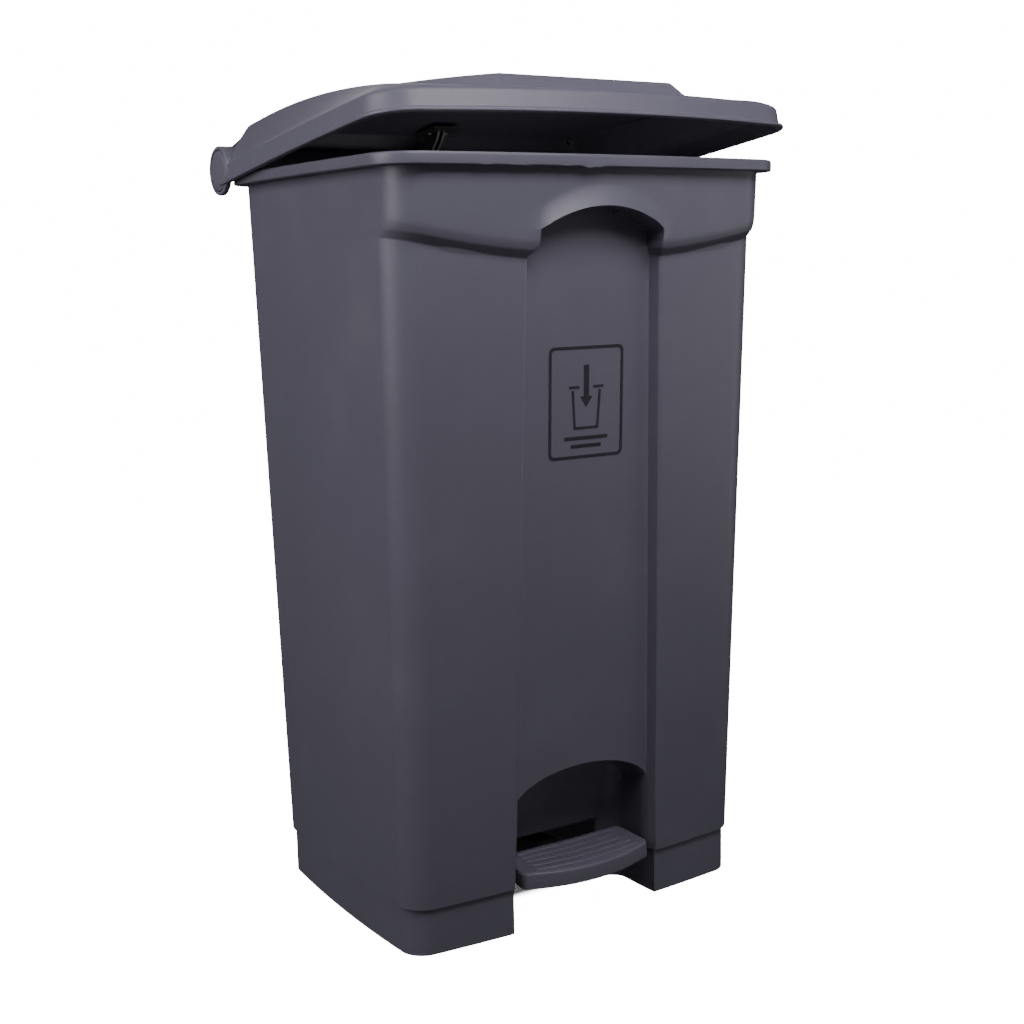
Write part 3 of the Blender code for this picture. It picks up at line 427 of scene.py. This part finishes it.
# points (rows, columns) of the tub's skin for the row heights zeta: a point
# of the rounded-rectangle plan is pushed back by the channel, the hood's
# recess, the niche or the rear groove, and rows bend in height so that they
# follow the arches and the band's border
def tubPoints(zeta, wall=0.0, liner=False):
    z0 = zeta[:, None] + 0 * colValue[None, :]
    half, _, _, corner, _ = planSizes(z0, wall)
    straight = half - corner
    isFront = colKind == "front"
    isRear = colKind == "rear"

    # x of the front and rear columns from their stations
    s = np.abs(colValue)[None, :] + 0 * z0
    stops = stations(z0, straight, wall)
    i = np.clip(np.floor(s), 0, 7).astype(int)
    stack = np.stack(stops)
    pick = lambda k: np.take_along_axis(stack, k[None], 0)[0]
    xFront = np.sign(colValue) * mix(pick(i), pick(i + 1), s - i)
    g = tub["grooveHalf"] + wall
    rearStops = np.stack([0 * z0, 0 * z0 + g - 0.0004, 0 * z0 + g, 0 * z0 + g + 0.002, straight])
    k = np.clip(i, 0, 3)
    pickRear = lambda q: np.take_along_axis(rearStops, q[None], 0)[0]
    xRear = np.sign(colValue) * mix(pickRear(k), pickRear(k + 1), s - k)
    x = np.where(isFront, xFront, np.where(isRear, xRear, 0.0))

    # height: rows bend along the niche arch, the band's border and the hood arch
    turn = colValue * math.pi / 2
    fromEnd = (colKind == "frontRight") | (colKind == "rearLeft")
    across = np.where(fromEnd, np.sin(turn), np.cos(turn))
    along = np.where(fromEnd, np.cos(turn), np.sin(turn))
    isCorner = (colKind == "frontRight") | (colKind == "frontLeft")
    ax = np.where(isFront, np.abs(x), np.where(isCorner, straight + corner * across, half))
    nicheTop = (tub["nicheSpring"] + wall + (tub["nicheTop"] - tub["nicheSpring"])
                * np.sqrt(np.clip(1 - (ax / (tub["nicheHalf"] + wall)) ** 2, 0, 1)))
    hoodTop = archHeight(np.minimum(ax, tub["hoodHalf"] + wall), tub["hoodHalf"] + wall,
                         tub["hoodTop"] + wall, tub["hoodSpring"] + wall)
    fade = 1 - step(0.082, 0.125, ax)
    lift = ((nicheTop - tub["nicheTop"] - wall) * fade
            * step(0.078, 0.150, z0) * (1 - step(0.170, 0.25, z0)))
    run = np.where(isFront | isCorner, 1.0, 0.0)
    run = np.where(colKind == "right", 1 - colValue, run)
    run = np.where(colKind == "left", colValue, run)
    border = borderHeight(ax) - tub["borderZ"]
    bend = step(0.60, 0.672, z0) * (1 - step(0.694, 0.7637, z0)) * run
    hoodBend = step(0.690, 0.722, z0) * (1 - step(0.732, 0.7637, z0)) * fade
    lift = lift + border * bend * (1 - 0.9 * hoodBend)
    lift = lift + (hoodTop - tub["hoodTop"] - wall) * hoodBend
    z = z0 + lift * (0 if liner else 1)
    gateCol = isFront & (np.abs(colValue) <= 1.0)
    if not liner:
        squeeze = tub["gateTop"] + z * (0.10 - tub["gateTop"]) / 0.10
        z = np.where(gateCol & (z < 0.10), squeeze, z)

    # plan outline with the band's forward shift
    half, centre, depth, corner, t = planSizes(z, wall)
    h = z - borderHeight(ax) - wall
    tall = tub["borderTall"]
    band = np.where(h < 0.6 * tall, 0.72 * ramp(0, 0.6 * tall, h),
                    0.72 + 0.28 * np.sin(ramp(0.6 * tall, 1.5 * tall, h) * math.pi / 2))
    band = band * step(0.45, 0.5, t)
    shift = tub["bandStep"] * t * (1 - band)
    front, rear = centre - depth + shift, centre + depth
    swell = tub["frontBow"] * (1 - np.clip(np.abs(x) / (half - corner), 0, 1) ** 2)
    y = np.where(isFront, front - swell, np.where(isRear, rear, 0.0))
    for kind, sx, sy in (("frontRight", 1, -1), ("rearRight", 1, 1),
                         ("rearLeft", -1, 1), ("frontLeft", -1, -1)):
        here = colKind == kind
        edgeY = front + corner if sy < 0 else rear - corner
        x = np.where(here, sx * (half - corner + corner * across), x)
        y = np.where(here, edgeY + sy * corner * along, y)
    for kind, sx in (("right", 1), ("left", -1)):
        here = colKind == kind
        v = colValue if sx > 0 else 1 - colValue
        x = np.where(here, sx * (half + tub["sideBow"] * (1 - (2 * v - 1) ** 2)), x)
        y = np.where(here, mix(front + corner, rear - corner, v), y)

    # the channel: rounded edge, drafted side wall, flat floor
    panel = y
    floorY = (middleY + tub["plinthShift"] - tub["lowDepth"] + tub["channelDepth"]
              + wall - (z - tub["stepZ"]) * frontSlope)
    a = np.abs(colValue) + 0 * z
    cut = np.where(a > 6, 0.11 * np.clip(7 - a, 0, 1) ** 2,
                   np.where(a > 5, 0.11 + 0.80 * np.clip(6 - a, 0, 1),
                            0.91 + 0.09 * np.sin(np.clip(5 - a, 0, 1) * math.pi / 2)))
    under = 1 - ramp(hoodTop - 0.0007, hoodTop, z)
    hoodSide = np.where(z > 0.690, np.where(a > 6, 0.0, np.where(a > 5, 6 - a, 1.0)), cut)
    cut = mix(cut, hoodSide, step(0.684, 0.690, z)) * under
    recess = np.where(isFront, cut, 0.0)
    y = np.where(isFront, mix(panel, floorY, recess), y)

    # flare of the hood above its arch, fading to the sides
    d = z - hoodTop
    above = np.clip(1 - d / tub["hoodReach"], 0, 1)
    flare = above ** 1.4 * (1 - 0.9 * step(0.060, 0.0835, ax))
    flare = flare * (1 - 0.35 * (ax / tub["hoodHalf"]) ** 2)
    beside = np.where(ax > tub["hoodHalf"], step(-0.028, 0.0, d), 0.0)
    flare = flare * np.where(d >= -0.0004, 1.0, beside)
    lipped = tub["hoodFlare"] * np.clip(flare, 0, 1) * (1 - recess) * (0 if liner else 1)
    y = np.where(isFront, y - lipped, y)

    # the toe niche and the notch below it
    backY = middleY + tub["nicheBack"] + wall - tub["nicheLean"] * np.maximum(z - tub["gateTop"], 0)
    r = tub["nicheCorner"]
    reach = np.where(z < tub["stepZ"], tub["notchHalf"], tub["nicheHalf"]) + wall
    into = np.clip(ax - (reach - r), 0, r * 0.985)
    backY = backY - (r - np.sqrt(r * r - into * into))
    gap = nicheTop - z
    depthIn = np.where(gap < 0.0012, 0.16 * ramp(0, 0.0012, gap),
                       np.where(gap < 0.0035, 0.16 + 0.66 * ramp(0.0012, 0.0035, gap),
                                0.82 + 0.18 * np.sin(ramp(0.0035, 0.011, gap) * math.pi / 2)))
    sideIn = np.where(a <= 3, 1.0, np.clip(4 - a, 0, 1))
    inNiche = np.where(isFront, depthIn * sideIn, 0.0)
    y = np.where(isFront, mix(y, backY, inNiche), y)
    footFall = np.clip((7 - a) / 4, 0, 1)
    notchY = mix(panel, backY, footFall ** 0.8)
    low = 1 - step(0.0491, 0.0497, z)
    y = np.where(isFront & (a <= 7), mix(y, notchY, low), y)

    # the rod's groove at the back
    grooveY = middleY + tub["grooveFloor"] - wall
    inGroove = np.where(isRear, np.clip(2 - a, 0, 1), 0.0)
    y = np.where(isRear, mix(y, grooveY, inGroove), y)
    return np.stack([x, y, z], -1), inGroove


# the lip's outer line in plan, one point per column
def rimLine(base):
    half, depth, r = tub["rimHalf"], tub["rimDepth"], tub["rimCorner"]
    x, y = base[:, 0].copy(), base[:, 1].copy()
    k = (half - r) / np.abs(x[colKind == "front"]).max()
    for kind, sy in (("front", -1), ("rear", 1)):
        here = colKind == kind
        x[here] *= k
        swell = tub["frontBow"] * (1 - (x[here] / (half - r)) ** 2) * (sy < 0)
        y[here] = middleY + sy * (depth + swell)
    for kind, sx, sy in (("frontRight", 1, -1), ("rearRight", 1, 1),
                         ("rearLeft", -1, 1), ("frontLeft", -1, -1)):
        here = colKind == kind
        turn = colValue[here] * math.pi / 2
        cs = (np.sin(turn), np.cos(turn))
        if kind in ("rearRight", "frontLeft"):
            cs = cs[::-1]
        x[here] = sx * (half - r + r * cs[0])
        y[here] = middleY + sy * (depth - r + r * cs[1])
    for kind, sx in (("right", 1), ("left", -1)):
        here = colKind == kind
        v = colValue[here] if sx > 0 else 1 - colValue[here]
        x[here] = sx * (half + tub["sideBow"] * (1 - (2 * v - 1) ** 2))
        y[here] = middleY + mix(-(depth - r), depth - r, v)
    return np.stack([x, y, 0 * x + tub["rimTop"]], -1)


# small flash left under the lip by the mould, left of the middle
def flashNicks(x):
    rng = np.random.default_rng(7)
    place, tall = rng.uniform(-0.130, 0.002, 9), rng.uniform(0.0006, 0.0014, 9)
    return (tall * np.exp(-((x[:, None] - place) / 0.0035) ** 2)).sum(1)


# from the underside of the floor down the plinth's inner wall
def undersideRows():
    heights = np.array([tub["underZ"], 0.078, 0.060, 0.030, 0.0])
    rows, _ = tubPoints(np.full(len(heights), 0.03), 0.004, True)
    rows[..., 2] = heights[:, None]
    gate = (colKind == "front") & (np.abs(colValue) <= 1.0)
    rows[..., 2] = np.where(gate, np.maximum(rows[..., 2], tub["gateTop"]), rows[..., 2])
    return rows


def makeTub():
    rows = spread([0, 0.0478, 0.0489, 0.0497, 0.0512, 0.095, 0.148, 0.1625, 0.170, 0.24,
                   0.60, 0.672, 0.680, 0.692, 0.7262, 0.7276, 0.7292, 0.750, 0.7637],
                  [7, 2, 4, 2, 9, 14, 18, 5, 10, 30, 14, 12, 10, 18, 4, 8, 16, 7])
    outer, groove = tubPoints(rows)
    base = outer[-1]
    out, g = rimLine(base), groove[-1][:, None]
    nick = np.where(colKind == "front", flashNicks(base[:, 0]), 0)
    # rolled lip: share of the way out to its outer line, and height above its underside
    lipRows = []
    for share, up in [(0.10, 0.0), (0.80, 0.0), (0.93, 0.0002), (0.985, 0.0009),
                      (1.0, 0.0022), (1.0, 0.0085), (0.985, 0.0098), (0.94, 0.0108),
                      (0.86, 0.0113), (0.5, 0.0113)]:
        row = mix(base, out, share)
        row[:, 2] = tub["rimLow"] + up - nick * (share > 0.5 and up < 0.001)
        lipRows.append(np.where(g > 0.5, np.concatenate([base[:, :2], row[:, 2:]], 1), row))
    wallRows = spread([tub["rimTop"], 0.700, 0.24, 0.155, 0.105, 0.087, tub["floorZ"]],
                      [8, 20, 14, 10, 4, 3])
    wallRows[0] = tub["rimTop"] - 0.0006
    inside, _ = tubPoints(wallRows, tub["wall"], True)
    grid = np.concatenate([undersideRows(), outer, np.array(lipRows), inside])
    dress(closedTube("tub_skin", grid, 32.0), "tub", "tub_plastic", "body_shell")
    # hangers of the pedal's axle under the floor, lugs of the hinge rod at the rim
    parts = []
    for side in (-1, 1):
        xs = sorted(side * x for x in tub["hangerX"])
        deep, low = tub["hangerDeep"], tub["hangerLow"]
        parts.append(box(xs, (axle["y"] - deep, axle["y"] + deep),
                         (axle["z"] - low, tub["underZ"] + 0.001)))
        x, thick, (front, rear) = side * tub["lugX"], tub["lugThick"], tub["lugDeep"]
        parts.append(box((x - thick, x + thick), (hinge["y"] - front, hinge["y"] + rear),
                         (tub["lugLow"], hinge["z"] + rear)))
    dress(joined("tub_lugs", parts), "tub", "tub_plastic")


makeTub()
print("tub made")


lid = {
    "half": 0.2362, "front": middleY - 0.2018, "bow": (0.0040, 0.0165), "corner": 0.046,
    "skirtLow": 0.7632, "skirtTop": 0.786, "flange": 0.0029, "wall": 0.003,
    "ridgeHalf": 0.212, "ridgeFront": middleY - 0.192, "ridgeRear": middleY + 0.160,
    "ridgeY": middleY + 0.110, "ridgeZ": 0.822, "ridgeFall": 0.36,
    "panelHalf": 0.2105, "panelFlat": 0.099, "panelFront": middleY - 0.1706,
    "panelLow": 0.808, "panelSideY": middleY + 0.017, "panelHigh": 0.8190,
    "panelRear": middleY + 0.148, "panelFoot": 0.016, "crown": 0.826,
    "barrel": 0.026, "bore": 0.0225, "barrelHalf": 0.2375, "endWall": 0.2318,
    "gapAngle": 86.0, "cap": 0.0212, "capDepth": 0.0032,
}

# half of the lid's columns, from the middle of the front to the middle of the rear:
# 0 front, 1 front corner, 2 side, 3 rear corner, 4 rear
lidPart = np.repeat([0, 1, 2, 3, 4], [25, 17, 29, 5, 25])
lidRun = np.concatenate([np.linspace(0, 1, 25), np.linspace(0, 1, 19)[1:-1],
                         np.linspace(0, 1, 29), np.linspace(0, 1, 7)[1:-1],
                         np.linspace(0, 1, 25)])


def bothSides(half, sign=1):
    return np.concatenate([half, sign * half[-2:0:-1]])


# rounded rectangle in plan: bow swells the sides and the front outwards by a
# parabola, roundness 0 turns the front corners into straight diagonals
def lidPlan(half, front, rear, frontCorner, rearCorner, bow=(0.0, 0.0), roundness=1.0):
    t, a = lidRun, lidRun * math.pi / 2
    over, back = mix(t, np.sin(a), roundness), mix(1 - t, np.cos(a), roundness)
    x = np.choose(lidPart, [t * (half - frontCorner[0]), half - frontCorner[0] * (1 - over),
                            half + bow[0] * (1 - (2 * t - 1) ** 2),
                            half - rearCorner[0] * (1 - np.cos(a)),
                            (1 - t) * (half - rearCorner[0])])
    y = np.choose(lidPart, [front - bow[1] * (1 - t * t), front + frontCorner[1] * (1 - back),
                            mix(front + frontCorner[1], rear - rearCorner[1], t),
                            rear - rearCorner[1] * (1 - np.sin(a)), rear + 0 * t])
    return bothSides(x, -1), bothSides(y)


# beside the raised panel: level at the rear, then falling with the square
def ridgeHeight(y):
    return lid["ridgeZ"] - lid["ridgeFall"] * np.maximum(0, lid["ridgeY"] - y) ** 2


# top of the raised panel: low at its front edge, easing to level further back
def panelHeight(y):
    t = np.clip((y - lid["panelFront"]) / (lid["panelSideY"] - lid["panelFront"]), 0, 1)
    rise = mix(lid["panelLow"], lid["panelHigh"], 1 - (1 - t) ** 2)
    return np.maximum(rise, ridgeHeight(y))


# turned open about the hinge from the shut pose by the rest angle
def opened(points):
    c, s = math.cos(hinge["ajar"]), math.sin(hinge["ajar"])
    dy, dz = points[..., 1] - hinge["y"], points[..., 2] - hinge["z"]
    return np.stack([points[..., 0], hinge["y"] + dy * c + dz * s,
                     hinge["z"] - dy * s + dz * c], -1)


# rows of the lid's skin from the skirt's lower edge to the crown, moved in by inset
def lidRows(inset):
    corner, square = (lid["corner"] - inset,) * 2, (0.004, 0.004)

    def skirt(out, z):
        x, y = lidPlan(lid["half"] - inset + out, lid["front"] + inset - out, hinge["y"],
                       corner, square, lid["bow"])
        return np.stack([x, y, 0 * x + z], -1)

    middle = (lid["panelFront"] + lid["panelRear"]) / 2
    bevel = (lid["panelHalf"] - lid["panelFlat"], lid["panelSideY"] - lid["panelFront"])

    def panel(shrink, rise, out=0.0, tall=panelHeight):
        k = 1 - shrink
        x, y = lidPlan((lid["panelHalf"] - inset) * k + out * 0.06,
                       middle + (lid["panelFront"] + inset - middle) * k - out,
                       middle + (lid["panelRear"] - middle) * k + out * 0.25,
                       (bevel[0] * k - out * 0.4, bevel[1] * k + out * 0.5),
                       (0.012 * k, 0.012 * k), roundness=0.12)
        return np.stack([x, y, tall(y) + rise - inset], -1)

    low, top = lid["skirtLow"], lid["skirtTop"]
    f = 0.0 if inset else lid["flange"]
    x, y = lidPlan(lid["ridgeHalf"] - inset, lid["ridgeFront"] + inset, lid["ridgeRear"] - inset,
                   (0.034, 0.034), (0.010, 0.010), (0.0, 0.012))
    ridge = np.stack([x, y, ridgeHeight(y) - inset], -1)
    rise = lid["crown"] - lid["ridgeZ"]
    rows = [skirt(f - 0.0012 * (inset == 0), low)]
    radii = []
    if not inset:
        rows += [skirt(f, low + 0.0006), skirt(f, low + 0.0031), skirt(0.0, low + 0.0043)]
        radii += [0.0006, 0.0008, 0.0012]
    rows += [skirt(-0.0012, top - 0.0025 - inset), skirt(-0.0050, top + 0.0006 - inset), ridge,
             panel(0.0, 0.0, lid["panelFoot"], ridgeHeight), panel(0.0, 0.0),
             panel(0.25, rise * 0.55), panel(0.7, rise)]
    radii += [0.0030, 0.0030, 0.0070, 0.0050, 0.0035, 0.03]
    rows = np.array(rounded(rows, radii))
    # the rear ends inside the barrel's wall
    reach = 0.0256 if inset == 0 else 0.0229
    rear = bothSides(lidPart == 4)
    yEnd, zEnd = hinge["y"] - 0.463 * reach, hinge["z"] + 0.886 * reach
    rows[..., 1] = np.where(rear, np.minimum(rows[..., 1], yEnd), rows[..., 1])
    rows[..., 2] = np.where(rear, np.maximum(rows[..., 2], zEnd), rows[..., 2])
    return rows


def makeLid():
    grid = np.concatenate([lidRows(0.0)[::-1], lidRows(lid["wall"])])
    shell = closedTube("lid_skin", opened(grid), 30.0)
    dress(shell, "lid", "lid_plastic", "lid_shell")
    # barrel: a C in section, open below and towards the rear
    a = np.radians(np.linspace(lid["gapAngle"], 272, 57))
    wayY = np.concatenate([lid["barrel"] * np.sin(a), lid["bore"] * np.sin(a[::-1])])
    wayZ = np.concatenate([-lid["barrel"] * np.cos(a), -lid["bore"] * np.cos(a[::-1])])
    place = lambda u, v, w: opened(np.stack([w, hinge["y"] + u, hinge["z"] + v], -1)).T
    end = lid["endWall"] + 0.0006
    barrel = joined("lid_barrel", [plate(np.stack([wayY, wayZ], -1), -end, end, place)])
    dress(barrel, "lid", "lid_plastic")
    for side, word in ((-1, "left"), (1, "right")):
        # end disc with a pocket, then the cap: pairs (distance from the end, radius)
        centre = (side * lid["barrelHalf"], hinge["y"], hinge["z"])
        depth, r = lid["capDepth"] + 0.0003, lid["barrel"]
        wall = lid["barrelHalf"] - lid["endWall"]
        pocket = lid["cap"] + 0.0006
        disc = turned("lid_end_" + word, [
            (-wall, 0.0053), (-wall, r), (-0.0016, r), (-0.0007, r - 0.0003),
            (-0.0001, r - 0.0010), (0, r - 0.0018), (0, pocket + 0.0006),
            (-0.0004, pocket + 0.0001), (-0.0010, pocket), (-depth, pocket), (-depth, 0.0053)],
            centre, (side, 0, 0), 96)
        dress(disc, "lid", "lid_plastic")
        c = lid["cap"]
        cap = turned("hinge_cap_" + word + "_skin", [
            (-lid["capDepth"], 0), (-lid["capDepth"], c), (-0.0010, c), (-0.0003, c - 0.0004),
            (0.0001, c - 0.0012), (0.0006, c * 0.75), (0.0010, c * 0.4), (0.0011, 0)],
            centre, (side, 0, 0), 96)
        dress(cap, "lid", "lid_plastic", "hinge_cap_" + word)


makeLid()
print("lid made")


pedal = {
    "half": (0.0755, 0.0800), "back": middleY - 0.102, "front": middleY - 0.153, "bow": 0.013,
    "top": (0.0665, 0.0625), "skirt": 0.017, "wall": 0.0025, "corner": (0.006, 0.010),
    "ribs": 5, "ribHalf": 0.064, "ribWide": 0.0036, "ribTall": 0.0024, "gate": 0.040,
}


# plan of the tread moved in by inset: back edge, sides, bowed front edge
def pedalRow(inset, drop):
    t = np.linspace(0, 1, 13)
    a = t * math.pi / 2
    back, front = pedal["back"] - inset, pedal["front"] + inset
    wideB, wideF = pedal["half"][0] - inset, pedal["half"][1] - inset
    rb, rf = pedal["corner"]
    s = np.linspace(0, 1, 25)[:-1]
    x = np.concatenate([s * (wideB - rb), wideB - rb + rb * np.sin(a),
                        wideF - rf * (1 - np.cos(a)), (1 - s[1:]) * (wideF - rf), [0]])
    y = np.concatenate([0 * s + back, back - rb * (1 - np.cos(a)),
                        front + rf * (1 - np.sin(a)),
                        front - pedal["bow"] * (1 - (1 - s[1:]) ** 2), [front - pedal["bow"]]])
    x, y = bothSides(x, -1), bothSides(y)
    return np.stack([x, y, pedalTop(y) - drop], -1)


def pedalTop(y):
    t = (y - pedal["back"]) / (pedal["front"] - pedal["back"])
    return mix(pedal["top"][0], pedal["top"][1], t)


def makePedal():
    wall = pedal["wall"]
    middle = (pedal["back"] + pedal["front"]) / 2

    def shrunk(k, inset, drop):
        row = pedalRow(inset, drop)
        row[:, 0] *= k
        row[:, 1] = middle + (row[:, 1] - middle) * k
        row[:, 2] = pedalTop(row[:, 1]) - drop
        return row

    outer = rounded([pedalRow(0.0006, pedal["skirt"]), pedalRow(0, pedal["skirt"] - 0.0006),
                     pedalRow(0.0004, 0.0), shrunk(0.6, 0.0, 0.0), shrunk(0.1, 0.0, 0.0)],
                    [0.0004, 0.0032, 0.0])
    inner = rounded([pedalRow(wall, pedal["skirt"]), pedalRow(wall, wall),
                     shrunk(0.6, wall, wall), shrunk(0.1, wall, wall)], [0.002, 0.0])
    grid = np.concatenate([np.array(outer)[::-1], np.array(inner)])
    # the back of the skirt is open for the lever
    open_ = (np.abs(grid[..., 0]) < pedal["gate"]) & (grid[..., 1] > pedal["back"] - 0.003)
    grid[..., 2] = np.where(open_, np.maximum(grid[..., 2], pedalTop(grid[..., 1]) - wall),
                            grid[..., 2])
    dress(closedTube("pedal_skin", grid, 35.0), "pedal", "tub_plastic", "pedal_tread")
    # ribs: a half-round section along a line parallel to the front edge
    parts = []
    u = np.linspace(-1, 1, 61)
    section = np.linspace(0, 2 * math.pi, 16, endpoint=False)
    for i in range(pedal["ribs"]):
        share = (i + 1) / (pedal["ribs"] + 1)
        x = np.sin(u * math.pi / 2) * pedal["ribHalf"]
        y0 = mix(pedal["back"], pedal["front"], share)
        y = y0 - pedal["bow"] * share * (1 - (x / pedal["half"][1]) ** 2)
        thin = np.sqrt(np.clip(1 - (np.abs(x) / pedal["ribHalf"]) ** 24, 0.0001, 1))
        yy = y[:, None] + thin[:, None] * pedal["ribWide"] / 2 * np.cos(section)
        zz = (pedalTop(y)[:, None] + thin[:, None] * pedal["ribTall"] * np.sin(section))
        grid = np.stack([x[:, None] + 0 * yy, yy, zz], -1)
        n = len(section)
        faces = gridFaces(len(u), n) + [list(range(n))[::-1],
                                       [(len(u) - 1) * n + k for k in range(n)]]
        parts.append((grid.reshape(-1, 3), faces))
    dress(joined("pedal_ribs", parts, 50.0), "pedal", "tub_plastic")


makePedal()
print("pedal made")


sign = {"z": 0.5395, "half": (0.0445, 0.0555), "line": 0.0030, "corner": 0.006, "skin": 0.0004}


def makeSign():
    floorLine = middleY + tub["plinthShift"] - tub["lowDepth"] + tub["channelDepth"]

    # u across, v up from the sign's middle, w out from the channel's floor
    def place(u, v, w):
        z = sign["z"] + v
        return u, floorLine - (z - tub["stepZ"]) * frontSlope - w, z

    def corners(half, tall, r):
        a = np.linspace(0, math.pi / 2, 9)
        c, s = np.cos(a) * r, np.sin(a) * r
        x = np.concatenate([half - r + c, -(half - r) - s, -(half - r) - c, half - r + s])
        y = np.concatenate([tall - r + s, tall - r + c, -(tall - r) - s, -(tall - r) - c])
        return np.stack([x, y], -1)

    def frameRing(half, tall, r, line):
        a, b = corners(half, tall, r), corners(half - line, tall - line, r - line * 0.6)
        low, high = -0.0001, sign["skin"]
        rows = [np.stack(place(o[:, 0], o[:, 1], np.full(len(o), w)), -1)
                for o, w in ((a, low), (a, high), (b, high), (b, low), (a, low))]
        return np.concatenate(rows), gridFaces(5, len(a))

    def flat(points):
        return plate(points, -0.0001, sign["skin"], place)

    line = sign["line"]
    parts = [frameRing(*sign["half"], sign["corner"], line)]
    # a bin: two leaning sides, a base, a lid line and a knob
    parts += [flat([(-0.0175, 0.012), (-0.0150, 0.012), (-0.0125, -0.024), (-0.0150, -0.024)]),
              flat([(0.0175, 0.012), (0.0150, 0.012), (0.0125, -0.024), (0.0150, -0.024)]),
              flat([(-0.0150, -0.0265), (0.0150, -0.0265), (0.0150, -0.024), (-0.0150, -0.024)]),
              flat([(-0.0205, 0.0140), (-0.0085, 0.0140), (-0.0085, 0.0165), (-0.0205, 0.0165)]),
              flat([(0.0205, 0.0140), (0.0085, 0.0140), (0.0085, 0.0165), (0.0205, 0.0165)])]
    # an arrow into it and two bars below
    parts += [flat([(-0.0030, 0.0370), (0.0030, 0.0370), (0.0030, 0.0060), (0.0075, 0.0060),
                    (0, -0.0045), (-0.0075, 0.0060), (-0.0030, 0.0060)]),
              flat([(-0.0260, -0.0370), (0.0260, -0.0370), (0.0260, -0.0335), (-0.0260, -0.0335)]),
              flat([(-0.0180, -0.0450), (0.0180, -0.0450), (0.0180, -0.0415), (-0.0180, -0.0415)])]
    dress(joined("sign_print", parts), "tub", "sign_ink", "sign_film")


makeSign()
print("sign made")


# the pieces inside and at the back keep their solids
replaced = {"body_shell", "lid_shell", "hinge_cap_left", "hinge_cap_right",
            "pedal_tread", "sign_film"}
slotNames = {s["node"]: s["material_slot"] for s in frame["record"]["subparts"]}
for name, obj in frame["nodes"].items():
    if name not in replaced:
        obj.data.materials.clear()
        obj.data.materials.append(slotPaint[slotNames[name]])


studio = {
    "camera": (-0.8429, -1.3563 + middleY, 0.6752), "yaw": 0.5610, "pitch": -0.1653,
    "roll": -0.0205, "lens": 52.18,
    # floor colour, then the size and offset of the painted shadow masked into the floor's glow under the bin
    "floor": (0.90, 0.90, 0.90), "darkX": (0.170, 0.196), "darkY": (0.094, 0.118),
    "darkShift": 0.036, "glow": 16.0, "world": 0.045,
    "key": 12.5, "side": 19.0, "fill": 3.6, "bounce": 0.8, "inside": 0.10, "rear": 9.0,
}


# camera matrix from compass angles: yaw from +Y towards +X
def aim(location, yaw, pitch, roll):
    ahead = Vector((math.sin(yaw) * math.cos(pitch), math.cos(yaw) * math.cos(pitch),
                    math.sin(pitch)))
    right = Vector((math.cos(yaw), -math.sin(yaw), 0.0))
    up = right.cross(ahead)
    r = right * math.cos(roll) + up * math.sin(roll)
    u = up * math.cos(roll) - right * math.sin(roll)
    m = Matrix((r, u, -ahead)).transposed().to_4x4()
    m.translation = location
    return m


def areaLight(name, place, target, size, power):
    data = bpy.data.lights.new(name, "AREA")
    data.shape, data.size, data.size_y, data.energy = "RECTANGLE", size[0], size[1], power
    lamp = bpy.data.objects.new(name, data)
    lamp.location = place
    lamp.rotation_euler = (Vector(target) - Vector(place)).to_track_quat("-Z", "Y").to_euler()
    lamp.visible_camera = False
    bpy.context.scene.collection.objects.link(lamp)


def makeStudio():
    data = bpy.data.cameras.new("camera")
    data.lens, data.sensor_width = studio["lens"], 36.0
    camera = bpy.data.objects.new("camera", data)
    camera.matrix_world = aim(studio["camera"], studio["yaw"], studio["pitch"], studio["roll"])
    bpy.context.scene.collection.objects.link(camera)
    bpy.context.scene.camera = camera
    world = bpy.data.worlds.new("studio")
    world.use_nodes = True
    shade = world.node_tree.nodes["Background"]
    shade.inputs["Color"].default_value = (1.0, 1.0, 1.0, 1.0)
    shade.inputs["Strength"].default_value = studio["world"]
    bpy.context.scene.world = world
    areaLight("key", (-0.05, -0.90, 1.42), (0.0, -0.15, 0.78), (0.9, 0.5), studio["key"])
    areaLight("side", (-1.6, 0.05, 1.15), (-0.2, 0.0, 0.50), (1.0, 1.2), studio["side"])
    areaLight("fill", (1.7, -0.95, 0.45), (0.1, -0.1, 0.35), (0.7, 0.9), studio["fill"])
    areaLight("bounce", (-0.1, -1.1, 0.03), (0.0, -0.1, 0.75), (1.4, 0.8), studio["bounce"])
    areaLight("rear", (0.8, 1.9, 1.3), (0.0, 0.2, 0.50), (1.2, 1.2), studio["rear"])
    areaLight("inside", (0.0, -0.02, 0.55), (0.0, -0.02, 0.80), (0.24, 0.16), studio["inside"])
    mesh = bpy.data.meshes.new("floor")
    e, low = 22.0, -0.0005
    mesh.from_pydata([(-e, -e, low), (e, -e, low), (e, e, low), (-e, e, low),
                      (-e, -e, 14), (e, -e, 14), (e, e, 14), (-e, e, 14)], [],
                     [(0, 1, 2, 3), (0, 4, 5, 1), (1, 5, 6, 2), (2, 6, 7, 3), (3, 7, 4, 0)])
    floor = bpy.data.objects.new("floor", mesh)
    p = Paint("pale_floor")
    # painted shadow: the floor's glow is masked to black over the bin's footprint, so the space below it stays
    # dark
    x, y, z = p.split(p.coords)
    depth = abs(y - (middleY + studio["darkShift"]))
    under = abs(x).ramp(*studio["darkX"]) + depth.ramp(*studio["darkY"])
    glow = p.blend(under.ramp(0.0, 1.0), (0.0, 0.0, 0.0, 1.0), (1.0, 1.0, 1.0, 1.0))
    mesh.materials.append(p.finish(Base_Color=(*studio["floor"], 1.0), Roughness=0.6,
                                   Emission_Color=glow,
                                   Emission_Strength=studio["glow"]))
    floor.visible_diffuse = floor.visible_glossy = floor.visible_shadow = False
    bpy.context.scene.collection.objects.link(floor)


makeStudio()
print("studio made")
